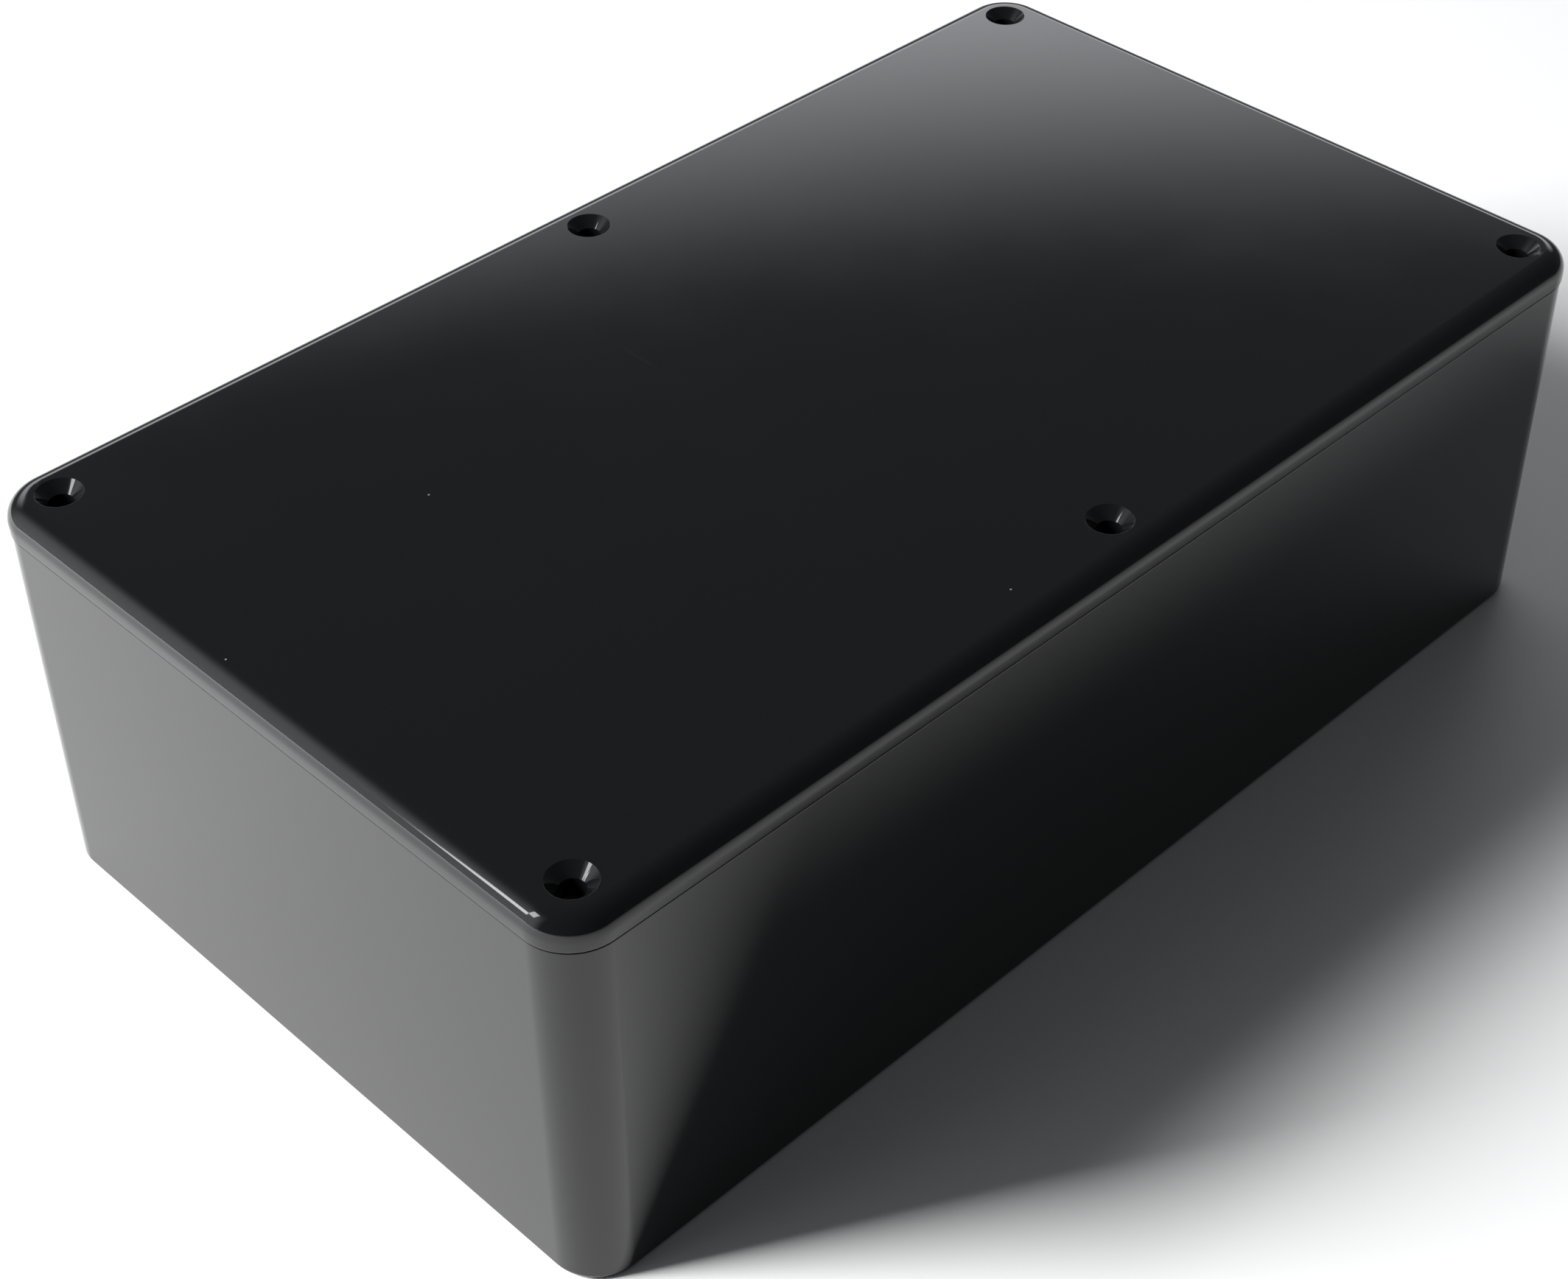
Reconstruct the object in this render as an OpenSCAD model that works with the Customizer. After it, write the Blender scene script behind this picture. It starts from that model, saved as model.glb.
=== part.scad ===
// Cellular signal booster in a black moulded ABS case.
// Millimetres. +Z is up, +X points to the port end, and the origin is the
// middle of the underside. The case is a deep tray with a flat lid, which
// six countersunk screws would hold. The antenna ports, the power socket,
// the switch and the lamps are all on the +X end.

/* [Case] */
// Length of the case along X
case_l = 190; // [186:1:210]
// Width of the case along Y
case_w = 110; // [109:1:130]
// Height of the case with the lid on
case_h = 60; // [58:1:72]
// Radius of the upright corners
corner_r = 7; // [6:0.5:7.5]
// Thickness of the floor, and of the walls measured out to the lid's edge
wall_t = 2.5; // [2:0.1:3]
// How much narrower each side of the tray is at the bottom than at the rim
draft = 0.2; // [0.2:0.1:0.5]
// Rounding of the bottom edge
base_round = 0.9; // [0.5:0.1:1.5]

/* [Lid] */
// Height of the lid's edge, from the parting line to the top
lid_h = 4.3; // [4:0.1:5.5]
// How far the lid stands out past the tray on every side
lid_lip = 0.2; // [0.1:0.1:0.3]
// Rounding of the lid's top edge
lid_round = 3; // [1:0.1:3.2]
// Thickness of the lid's plate
plate_t = 2.8; // [2.4:0.1:3.4]
// Height of the shadow line under the lid
seam_h = 0.3; // [0.2:0.1:0.6]
// How far the lid's locating rib reaches below the rim
tongue_h = 2.7; // [2:0.1:3.2]

/* [Lid screw holes] */
// Distance of the corner holes from the ends of the case
screw_end_gap = 7; // [6.5:0.25:7.5]
// Distance of all six holes from the long sides
screw_side_gap = 6.75; // [6.5:0.25:7]
// Diameter of the through hole in the lid
screw_hole_d = 3.2; // [3:0.1:3.6]
// Diameter of the countersink at the top face
sink_d = 6.14; // [5.8:0.02:6.6]
// Radius of the six screw bosses
boss_r = 4.2; // [4:0.1:4.5]

/* [Port end] */
// Distance of each antenna port from the middle of the end
port_y = 31; // [30:1:33]
// Height of the antenna ports
port_z = 30; // [28:1:32]
// Height of the switch
switch_z = 36; // [35:1:37]
// Height of the power socket
jack_z = 17; // [16:1:18]
// Height of the status lamps
led_z = 48; // [47:0.5:49]
// Distance between the status lamps
led_pitch = 8; // [6:1:9]

/* [Board] */
// Length of the circuit board
board_l = 160; // [158:1:164]
// Width of the circuit board
board_w = 86; // [84:1:86]
// Thickness of the circuit board
board_t = 1.6; // [1.2:0.2:2]
// Height of the posts under the circuit board
post_h = 6; // [5:0.5:7]
// Number of fins on the heat sink
fin_count = 9; // [5:1:11]

/* [Hidden] */
$fn = 64;
// Overlap that joins two shapes, and how far a cutter runs past a face
eps = 0.02;
over = 1;
// Gap between pieces that fit together
clear = 0.05;

body_h = case_h - lid_h;
case_end = case_l / 2;
inner_l = case_l - 2 * wall_t;
inner_w = case_w - 2 * wall_t;
inner_r = corner_r - wall_t;
inner_end = inner_l / 2;
inner_draft = 0.3;
// Height inside the floor from which bosses, posts and ribs rise
floor_z = 1.2;
// Play and thickness of the rib under the lid
tongue_gap = 0.2;
tongue_t = 1.4;
// How far in from the lid's edge the shadow line is cut into the rim
seam_in = 0.6;
// Flat seats are cut into the drafted end wall, and the ports' hardware sits on them
seat_x = case_end - lid_lip - draft;
screw_x = case_end - screw_end_gap;
screw_y = case_w / 2 - screw_side_gap;
boss_xy = [for (x = [-screw_x, 0, screw_x], y = [-screw_y, screw_y]) [x, y]];
sink_depth = (sink_d - screw_hole_d) / 2;

// Brass inserts for M3 screws
insert_r = 2.35;
insert_bore_r = 1.25;
insert_h = 6;
// Depth of the hole under an insert, for the end of its screw
screw_room = 8;

// Circuit board, its right end 18.5 mm from the port end's inner face
board_x1 = inner_end - 18.5;
board_x0 = board_x1 - board_l;
board_cx = board_x0 + board_l / 2;
board_z = wall_t + post_h;
board_top = board_z + board_t;
post_r = 3.5;
post_xy = [
    for (x = [board_x0 + 6, board_x1 - 61, board_x1 - 5], y = [-38, 38])
        [x, y]
];
pilot_r = 1.25;
screw_shank_r = 1.2;

// Antenna port: a bulkhead socket with a 5/8 inch thread
thread_r = 7.94;
flange_r = 10;
flange_t = 2;
washer_t = 0.8;
nut_t = 3;
nut_flats = 19;
port_reach = 13;
port_face = case_end + port_reach;
relief_w = 1;
relief_in = 0.4;
relief_x = seat_x + washer_t + nut_t + 0.1;
hex_chamfer = 0.4;
socket_r = 4.2;
socket_depth = 9;
insulator_r = 3.6;
insulator_in = 5.4;
contact_r = 1.6;
contact_bore_r = 0.85;
contact_slit = 0.35;
neck_r = 5;
stub_r = 2.6;
stub_l = 10.5;

// Antenna leads: 2.6 mm coaxial cable with one bend down to the board
coax_r = 1.3;
coax_bend = 6;
lead_x = board_x1 - 6;
plug_h = 7;
plug_lift = 2.4;
plug_grip_z = 4.7;
jack_base = 6;
jack_base_h = 1.2;
jack_barrel_r = 2.2;
jack_barrel_h = 3;

// Switch: a rocker on an upright pivot
frame_y = 21;
frame_z = 15;
frame_t = 1.8;
cut_y = 18.8;
cut_z = 12.8;
rocker_arc = 8.2;
rocker_w = 9.8;
rocker_tilt = 9;
pivot_x = case_end - 1.4;
pivot_r = 1;
pivot_l = 11.6;
switch_depth = 17;
blade_y = 4.5;
blade_l = 8;

// Power socket: 5.5 mm barrel with a 2.1 mm pin
jack_r = 5.5;
jack_depth = 14;
jack_bore_r = 2.75;
jack_pin_r = 1.05;
jack_bore_l = 9;
jack_bezel_r = 7.2;
jack_bezel_t = 1.6;
jack_root_r = 1.4;
jack_root_l = 1.8;
jack_pin_l = 10.9;
pin_x = case_end - 10.4;
jack_nut_t = 2.5;
jack_nut_r = 7.6;
tab_size = [5, 2.4, 0.5];
tab_dz = 3;

// Status lamps
led_r = 1.5;
led_rim_r = 1.9;
led_back = 4;
led_proud = 0.6;
led_y = [-led_pitch, 0, led_pitch];

// Plan of the board: where the middle of each part is, and its length, width and height
sink_x = board_x0 + 19;
sink_size = [34, 60, 17];
sink_feet_h = 4;
sink_base_t = 3;
sink_foot_r = 3;
sink_foot_in = 4;
fin_t = 1.8;
amplifier_y = 13;
amplifier_size = [12, 10, 3];
pad_t = 1;
shield_x = board_x0 + 68;
shield_y = 21.5;
shield_size = [50, 32, 5.4];
shield_wall_x = 4;
skirt_h = 2.6;
sheet_t = 0.6;
duplexer_x = board_x1 - 34;
duplexer_y = 24;
duplexer_size = [44, 22, 14];
tuner_pitch = 8;
tuner_row_y = 5.5;
tuner_r = 1.2;
block_x = board_x1 - 9.5;
block_size = [9, 10, 10];
block_pitch = 5;
header_y = 12;
header_h = 3.9;
controller_x = board_x0 + 60;
crystal_x = board_x0 + 72;
power_x = board_x1 - 56;
fuse_y = -6;
fuse_l = 20;
fuse_r = 2.45;
fuse_lift = 3.6;
fuse_cap_l = 4.6;
fuse_clip_x = [2, 18];
inductor_size = [11, 9.4, 2];
capacitor_r = 4;
capacitor_xy = [[power_x + 37, 6.5], [power_x + 37, -6.5], [power_x + 28, 7]];

// Wires as points to pass through. x is measured from the port end's inner face
wire_r = 0.8;
block_z = board_top + 3.9;
positive_route = [
    [-17, 0, jack_z + tab_dz], [-19.5, -1.5, jack_z + 5], [-23.5, -5, 27],
    [-28, -5.5, switch_z - 4], [-27.5, -4.8, switch_z - 0.4], [-22.9, -blade_y, switch_z]
];
switched_route = [
    [-22.9, blade_y, switch_z], [-27.5, 4.8, switch_z - 0.4], [-28, 6, switch_z - 5],
    [-23.5, 6.5, 23], [-19.5, 4.5, 16], [-21, 2.8, block_z], [-26.5, 2.5, block_z]
];
negative_route = [
    [-17, 0, jack_z - tab_dz], [-19, -1, block_z - 0.4], [-21, -2.3, block_z], [-26.5, -2.5, block_z]
];
ribbon_r = 0.42;
ribbon_route = [
    [-6.6, 10, led_z - 1], [-11.5, 11, led_z - 2.5], [-15.5, header_y, 38], [-17.5, header_y, 28],
    [-22, header_y, 22], [-24.5, header_y, 17], [-24.5, header_y, board_top + header_h + 0.05]
];

// ---- Shapes that repeat ----

// Places its children at the four corners of a rectangle
module at_corners(dx, dy) {
    for (x = [-dx / 2, dx / 2], y = [-dy / 2, dy / 2])
        translate([x, y, 0]) children();
}

// Places its children at each point of a list
module at_each(points) {
    for (p = points)
        translate([p[0], p[1], 0]) children();
}

// Turns a shape drawn along +Z so that it runs along +X, from x
module along_x(x, y, z) {
    translate([x, y, z]) rotate([0, 90, 0]) children();
}

// What a rounding of radius r takes off a corner whose side leans out by an angle.
// The arc's middle is at the origin, and up is 1 for a top corner or -1 for a bottom one
module rounding(r, lean, up) {
    side = 2 * r * [cos(lean), -sin(lean)];
    corner = 2 * r * [1, up];
    end = 2 * r * [0, up];
    difference() {
        polygon([[0, 0], side, corner, end]);
        circle(r);
    }
}

// Half of a moulded block's cross-section, from its middle out to a side that leans
// out by taper, with the bottom and top edges rounded
module half_section(half, h, taper, low_round, high_round) {
    lean = atan(taper / h);
    difference() {
        polygon([[0, 0], [half - taper, 0], [half, h], [0, h]]);
        if (low_round > 0)
            translate([half - taper * (1 - low_round / h) - low_round / cos(lean), low_round])
                rounding(low_round, lean, -1);
        if (high_round > 0)
            translate([half - taper * high_round / h - high_round / cos(lean), h - high_round])
                rounding(high_round, lean, 1);
    }
}

// Block with upright round corners, leaning sides and rounded bottom or top edges
module moulded_block(l, w, h, r, taper = 0, low_round = 0, high_round = 0) {
    at_corners(l - 2 * r, w - 2 * r)
        rotate_extrude() half_section(r, h, taper, low_round, high_round);
    for (side = [0, 1]) {
        rotate([90, 0, 0]) mirror([side, 0, 0])
            linear_extrude(w - 2 * r, center = true)
                half_section(l / 2, h, taper, low_round, high_round);
        rotate([90, 0, 90]) mirror([side, 0, 0])
            linear_extrude(l - 2 * r, center = true)
                half_section(w / 2, h, taper, low_round, high_round);
    }
}

// Box that stands on z = 0 and is centred in x and y
module slab(size) {
    translate([0, 0, size[2] / 2]) cube(size, center = true);
}

// Ring around +Z
module ring(r_out, r_in, h) {
    difference() {
        cylinder(r = r_out, h = h);
        translate([0, 0, -eps]) cylinder(r = r_in, h = h + 2 * eps);
    }
}

// Pan head screw, with its head's underside at z = 0
module pan_screw(head_r, head_h, shank_r, shank_l) {
    difference() {
        union() {
            translate([0, 0, -shank_l]) cylinder(r = shank_r, h = shank_l + eps);
            cylinder(r1 = head_r, r2 = head_r * 0.86, h = head_h);
        }
        for (turn = [0, 90])
            rotate([0, 0, turn])
                translate([0, 0, head_h]) cube([head_r * 1.15, head_r * 0.26, head_h * 1.1], center = true);
    }
}

// Points on a smooth line through a route
function smooth(route, steps = 4) = concat(
    [
        for (i = [0 : len(route) - 2], s = [0 : steps - 1])
            let (
                a = route[max(i - 1, 0)], b = route[i], c = route[i + 1],
                d = route[min(i + 2, len(route) - 1)], t = s / steps
            )
            (2 * b + (c - a) * t + (2 * a - 5 * b + 4 * c - d) * t ^ 2
                + (3 * b - a - 3 * c + d) * t ^ 3) / 2
    ],
    [route[len(route) - 1]]
);

function unit(v) = v / norm(v);

// Round wire along a route at the port end, with closed ends
module wire(route, r, shift = [0, 0, 0]) {
    sides = 8;
    line = smooth(route);
    last = len(line) - 1;
    points = [
        for (i = [0 : last])
            let (
                along = unit(line[min(i + 1, last)] - line[max(i - 1, 0)]),
                u = unit(cross(along, [0.05, 1, 0.1])),
                v = cross(along, u)
            )
            for (k = [0 : sides - 1])
                line[i] + [inner_end, 0, 0] + shift
                    + r * (cos(360 * k / sides) * u + sin(360 * k / sides) * v)
    ];
    skin = [
        for (i = [0 : last - 1], k = [0 : sides - 1])
            [i * sides + k, i * sides + (k + 1) % sides,
                (i + 1) * sides + (k + 1) % sides, (i + 1) * sides + k]
    ];
    ends = [
        [for (k = [sides - 1 : -1 : 0]) k],
        [for (k = [0 : sides - 1]) last * sides + k]
    ];
    polyhedron(points, concat(skin, ends));
}

// ---- Case ----

// Raises its children from inside the floor, which they join
module from_floor() {
    translate([0, 0, floor_z]) children();
}

// Web from a boss to a point inside the wall beside it
module boss_web(boss, out) {
    size = [max(boss_r, abs(out[0] - boss[0])), max(boss_r, abs(out[1] - boss[1])), body_h - floor_z];
    translate([(boss[0] + out[0]) / 2, (boss[1] + out[1]) / 2, 0]) slab(size);
}

module screw_bosses() {
    web_in = 0.8;
    at_each(boss_xy) cylinder(r = boss_r, h = body_h - floor_z);
    for (p = boss_xy) {
        boss_web(p, [p[0], sign(p[1]) * (inner_w / 2 + web_in)]);
        if (p[0] != 0)
            boss_web(p, [sign(p[0]) * (inner_end + web_in), p[1]]);
    }
}

// Upright ribs that can hold a small board across the case
module card_guides() {
    rib = [1.2, 2.4, body_h - 8];
    rib_in = 0.4;
    gap = 2.2;
    pitch = 22;
    for (i = [-3, -2, -1, 1, 2, 3], side = [-1, 1], edge = [-1, 1])
        translate([i * pitch + edge * (gap + rib[0]) / 2, side * (inner_w / 2 - rib[1] / 2 + rib_in), 0])
            slab(rib);
}

module board_posts() {
    at_each(post_xy) cylinder(r = post_r, h = board_z - floor_z);
}

// Round hole through the end wall, with a flat seat on each face
module end_hole(y, z, hole_r, seat_r) {
    seat_depth = 2;
    along_x(inner_end - over, y, z) cylinder(r = hole_r, h = wall_t + 2 * over);
    along_x(seat_x, y, z) cylinder(r = seat_r, h = seat_depth);
    along_x(inner_end - seat_depth, y, z) cylinder(r = seat_r, h = seat_depth);
}

module port_end_cuts() {
    play = 0.1;
    seat_play = 0.3;
    for (side = [-1, 1])
        end_hole(side * port_y, port_z, thread_r + play, flange_r + 0.8);
    end_hole(0, jack_z, jack_r + play, jack_nut_r + seat_play);
    for (y = led_y)
        along_x(inner_end - over, y, led_z) cylinder(r = led_r + play, h = wall_t + 2 * over);
    translate([inner_end + wall_t / 2, 0, switch_z])
        cube([wall_t + 2 * over, cut_y, cut_z], center = true);
    translate([seat_x + over, 0, switch_z])
        cube([2 * over, frame_y + 2 * seat_play, frame_z + 2 * seat_play], center = true);
}

module box_body() {
    color("#1b1c20")
    difference() {
        union() {
            difference() {
                moulded_block(case_l - 2 * lid_lip, case_w - 2 * lid_lip, body_h,
                    corner_r - lid_lip, draft, base_round);
                translate([0, 0, wall_t])
                    moulded_block(inner_l, inner_w, body_h - wall_t + over, inner_r, inner_draft);
            }
            from_floor() {
                screw_bosses();
                card_guides();
                board_posts();
            }
        }
        // Step in the outer rim that shows as a thin shadow line under the lid
        translate([0, 0, body_h - seam_h]) difference() {
            slab([case_l + 2 * over, case_w + 2 * over, seam_h + over]);
            translate([0, 0, -eps])
                moulded_block(case_l - 2 * seam_in, case_w - 2 * seam_in, seam_h + 2 * over,
                    corner_r - seam_in);
        }
        at_each(boss_xy) {
            translate([0, 0, body_h - insert_h]) cylinder(r = insert_r + 0.01, h = insert_h + over);
            translate([0, 0, body_h - insert_h - screw_room])
                cylinder(r = insert_bore_r + clear, h = screw_room + over);
        }
        at_each(post_xy)
            translate([0, 0, wall_t]) cylinder(r = pilot_r, h = post_h + over);
        port_end_cuts();
    }
}

// Rib under the lid that locates it in the tray, with gaps for the bosses
module lid_tongue() {
    gap = boss_r + 0.6;
    reach = 12;
    root = 0.5;
    difference() {
        translate([0, 0, body_h - tongue_h])
            moulded_block(inner_l - 2 * tongue_gap, inner_w - 2 * tongue_gap, tongue_h + root,
                inner_r - tongue_gap);
        lid_hollow();
        for (p = boss_xy) {
            size = [p[0] == 0 ? 2 * gap : reach + gap, reach + gap, tongue_h];
            translate([p[0] + sign(p[0]) * (reach - gap) / 2, p[1] + sign(p[1]) * (reach - gap) / 2,
                body_h - tongue_h]) slab(size);
        }
    }
}

// Space inside the rib and under the lid's plate
module lid_hollow() {
    inset = tongue_gap + tongue_t;
    translate([0, 0, body_h - tongue_h - over])
        moulded_block(inner_l - 2 * inset, inner_w - 2 * inset, tongue_h + over + lid_h - plate_t,
            inner_r - inset);
}

module lid() {
    pad_root = 0.5;
    color("#1b1c20")
    difference() {
        union() {
            difference() {
                translate([0, 0, body_h])
                    moulded_block(case_l, case_w, lid_h, corner_r, 0, 0, lid_round);
                lid_hollow();
            }
            lid_tongue();
            at_each(boss_xy)
                translate([0, 0, body_h]) cylinder(r = boss_r, h = lid_h - plate_t + pad_root);
        }
        at_each(boss_xy) {
            translate([0, 0, body_h - over]) cylinder(d = screw_hole_d, h = lid_h + 2 * over);
            translate([0, 0, case_h - sink_depth])
                cylinder(d1 = screw_hole_d, d2 = sink_d, h = sink_depth);
            translate([0, 0, case_h - eps]) cylinder(d = sink_d, h = over);
        }
    }
}

// Each insert is a tube with two bands that grip the boss
module lid_inserts() {
    band_proud = 0.25;
    band_h = 2;
    band_z = [0.4, 3.4];
    below_rim = 0.1;
    color("goldenrod")
    at_each(boss_xy)
        translate([0, 0, body_h - insert_h]) difference() {
            union() {
                cylinder(r = insert_r - band_proud, h = insert_h - below_rim);
                for (z = band_z)
                    translate([0, 0, z]) cylinder(r = insert_r, h = band_h);
            }
            translate([0, 0, -over]) cylinder(r = insert_bore_r, h = insert_h + 2 * over);
        }
}

// ---- Board ----

// Places its children at the feet of the heat sink
module at_sink_feet() {
    at_corners(sink_size[0] - 2 * sink_foot_in, sink_size[1] - 2 * sink_foot_in) children();
}

module main_board() {
    corner = 2;
    post_hole_r = 1.6;
    sink_hole_r = 1.3;
    color("#1f5a34")
    translate([board_cx, 0, board_z]) difference() {
        moulded_block(board_l, board_w, board_t, corner);
        for (p = post_xy)
            translate([p[0] - board_cx, p[1], -over]) cylinder(r = post_hole_r, h = board_t + 2 * over);
        translate([sink_x - board_cx, 0, -over])
            at_sink_feet() cylinder(r = sink_hole_r, h = board_t + 2 * over);
    }
}

module board_screws() {
    head_r = 2.75;
    head_h = 1.9;
    shank_l = 6.4;
    color("silver")
    at_each(post_xy)
        translate([0, 0, board_top]) pan_screw(head_r, head_h, screw_shank_r, shank_l);
}

module duplexer(side) {
    cover_t = 1.8;
    groove = 0.4;
    groove_in = 0.5;
    tuner_hole_l = 5;
    size = duplexer_size;
    color("lightgray")
    translate([duplexer_x, side * duplexer_y, board_top]) difference() {
        slab(size);
        // Groove under the cover plate
        translate([0, 0, size[2] - cover_t - groove]) difference() {
            slab([size[0] + 2 * over, size[1] + 2 * over, groove]);
            translate([0, 0, -over])
                slab([size[0] - 2 * groove_in, size[1] - 2 * groove_in, groove + 2 * over]);
        }
        tuner_places() cylinder(r = tuner_r + clear, h = tuner_hole_l, center = true);
    }
}

// Two rows of tuning screws on the top of a duplexer
module tuner_places() {
    for (i = [-2 : 2], row = [-1, 1])
        translate([i * tuner_pitch, row * tuner_row_y, duplexer_size[2]]) children();
}

module tuning_screws(side) {
    half_l = 2.2;
    nut_h = 1.2;
    slot = [3, 0.5, 1];
    color("darkgoldenrod")
    translate([duplexer_x, side * duplexer_y, board_top])
        tuner_places() difference() {
            union() {
                translate([0, 0, -half_l]) cylinder(r = tuner_r, h = 2 * half_l);
                cylinder(r = 2 * tuner_r, h = nut_h, $fn = 6);
            }
            translate([0, 0, half_l]) cube(slot, center = true);
        }
}

module shield_frame(side) {
    color("gainsboro")
    translate([shield_x, side * shield_y, board_top]) {
        difference() {
            slab(shield_size);
            translate([0, 0, -over])
                slab([shield_size[0] - 2 * sheet_t, shield_size[1] - 2 * sheet_t, shield_size[2] + 2 * over]);
        }
        // Wall between the two stages
        translate([shield_wall_x, 0, 0]) slab([sheet_t, shield_size[1] - sheet_t, shield_size[2]]);
    }
}

module shield_cover(side) {
    wrap = 2 * (sheet_t + clear);
    vent_r = 0.9;
    vent_pitch = [6.4, 8];
    color("lightgray")
    translate([shield_x, side * shield_y, board_top + shield_size[2] - skirt_h]) difference() {
        slab([shield_size[0] + wrap, shield_size[1] + wrap, skirt_h + sheet_t]);
        translate([0, 0, -over])
            slab([shield_size[0] + 2 * clear, shield_size[1] + 2 * clear, skirt_h + over]);
        for (i = [-3 : 3], j = [-1 : 1])
            translate([i * vent_pitch[0], j * vent_pitch[1], skirt_h - over])
                cylinder(r = vent_r, h = 2 * over + sheet_t, $fn = 24);
    }
}

// Filter and amplifier packages under a shield
module stage_chips(side) {
    filter = [8, 8, 1.6];
    preamplifier = [5, 5, 1.2];
    driver = [9, 7, 2];
    color("#26282c")
    translate([shield_x, side * shield_y, board_top]) {
        translate([-15, 0, 0]) slab(filter);
        for (y = [-6, 6])
            translate([-4, y, 0]) slab(preamplifier);
        translate([14, 0, 0]) slab(driver);
    }
}

module power_amplifiers() {
    flange = [18, 6, 1];
    color("#2b2d31")
    for (side = [-1, 1])
        translate([sink_x, side * amplifier_y, board_top]) {
            slab(amplifier_size);
            slab(flange);
        }
}

module thermal_pads() {
    size = [amplifier_size[0], amplifier_size[1], pad_t];
    color("lightsteelblue")
    for (side = [-1, 1])
        translate([sink_x, side * amplifier_y, board_top + amplifier_size[2]]) slab(size);
}

module heat_sink() {
    fins_z = sink_feet_h + sink_base_t;
    pitch = (sink_size[0] - 2) / (fin_count - 1);
    screw_play = 0.15;
    head_room_r = 3.6;
    color("#202124")
    translate([sink_x, 0, board_top]) difference() {
        union() {
            translate([0, 0, sink_feet_h]) slab([sink_size[0], sink_size[1], sink_base_t]);
            at_sink_feet() cylinder(r = sink_foot_r, h = sink_feet_h + eps);
            for (i = [0 : fin_count - 1])
                translate([(i - (fin_count - 1) / 2) * pitch, 0, fins_z - eps])
                    slab([fin_t, sink_size[1], sink_size[2]]);
        }
        // Room for the screws' heads, and their holes
        at_sink_feet() {
            translate([0, 0, -over]) cylinder(r = screw_shank_r + screw_play, h = fins_z + 2 * over);
            translate([0, 0, fins_z]) cylinder(r = head_room_r, h = sink_size[2] + over);
        }
    }
}

module heat_sink_screws() {
    head_r = 2.6;
    head_h = 1.8;
    shank_l = 9.4;
    color("silver")
    translate([sink_x, 0, board_top + sink_feet_h + sink_base_t])
        at_sink_feet() pan_screw(head_r, head_h, screw_shank_r, shank_l);
}

module controller_chip() {
    package = [7, 7, 0.9];
    stand_off = 0.1;
    leg = [1.1, 0.35, 0.3];
    leg_pitch = 0.75;
    color("#232428")
    translate([controller_x, 0, board_top]) {
        translate([0, 0, stand_off]) slab(package);
        for (turn = [0 : 90 : 270], i = [-4 : 4])
            rotate([0, 0, turn]) translate([(package[0] + 1) / 2, i * leg_pitch, 0]) slab(leg);
    }
}

// Crystal in a can with round ends
module crystal() {
    can_r = 2;
    can_h = 3;
    color("lightgray")
    translate([crystal_x, 0, board_top]) {
        slab([2 * can_r, 2 * can_r, can_h]);
        for (side = [-1, 1])
            translate([side * can_r, 0, 0]) cylinder(r = can_r, h = can_h);
    }
}

// Small chip resistors and capacitors in rows. A spot is x, y and its number of quarter turns
module surface_parts() {
    chip = [2, 1.2, 0.7];
    edge_y = 38.5;
    spots = [
        for (i = [0 : 9]) [board_x0 + 44 + i * 4.6, 0, 1],
        for (i = [0 : 6], side = [-1, 1]) [board_x0 + 46 + i * 6, side * 3.4, 0],
        for (i = [0 : 5], side = [-1, 1]) [power_x - 6, side * (4 + i * 5), 1],
        for (i = [0 : 8], side = [-1, 1]) [power_x + 2 + i * 4.5, side * edge_y, 0]
    ];
    // The controller and the crystal stand between these two
    taken = [controller_x - 6, crystal_x + 6];
    color("tan")
    for (s = spots)
        if (abs(s[1]) == edge_y || s[0] < taken[0] || s[0] > taken[1])
            translate([s[0], s[1], board_top]) rotate([0, 0, 90 * s[2]]) slab(chip);
}

// Electrolytic capacitors with the crimp near their foot
module capacitors() {
    foot_h = 1.2;
    crimp_r = 3.7;
    crimp_h = 2;
    can_z = 1.8;
    can_h = 9.2;
    color("#1d2f55")
    for (p = capacitor_xy)
        translate([p[0], p[1], board_top]) {
            cylinder(r = capacitor_r, h = foot_h);
            cylinder(r = crimp_r, h = crimp_h);
            translate([0, 0, can_z]) cylinder(r = capacitor_r, h = can_h);
        }
}

// Drum core between two square flanges
module power_inductor() {
    corner = 2;
    drum_r = 4;
    drum_h = 3;
    cap_t = 1.4;
    size = inductor_size;
    color("#3a3a3d")
    translate([power_x + 15, 6.2, board_top]) {
        moulded_block(size[0], size[1], size[2], corner);
        translate([0, 0, size[2] - 0.1]) cylinder(r = drum_r, h = drum_h);
        translate([0, 0, size[2] + drum_h - 0.2]) moulded_block(size[0], size[1], cap_t, corner);
    }
}

module regulator() {
    package = [8, 9, 4.2];
    tab = [8, 2, 1.2];
    leg = [0.9, 2, 0.7];
    leg_pitch = 2.5;
    color("#232428")
    translate([power_x + 27, -5.5, board_top]) {
        slab(package);
        translate([0, -(package[1] + tab[1] - 1) / 2, 0]) slab(tab);
        for (i = [-1 : 1])
            translate([i * leg_pitch, (package[1] + leg[1]) / 2 - 0.1, 0]) slab(leg);
    }
}

// 5 x 20 mm fuse, lying along X in its clips
module fuse() {
    glass_t = 0.35;
    cap_t = 0.6;
    cap_r = 2.7;
    fuse_wire_r = 0.2;
    color("silver")
    along_x(power_x, fuse_y, board_top + fuse_lift) {
        ring(fuse_r, fuse_r - glass_t, fuse_l);
        translate([0, 0, fuse_l / 2]) for (turn = [0, 180])
            rotate([turn, 0, 0]) translate([0, 0, fuse_l / 2 - fuse_cap_l]) difference() {
                cylinder(r = cap_r, h = fuse_cap_l + cap_t);
                translate([0, 0, -eps]) cylinder(r = fuse_r - eps, h = fuse_cap_l + eps);
            }
        cylinder(r = fuse_wire_r, h = fuse_l);
    }
}

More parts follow.
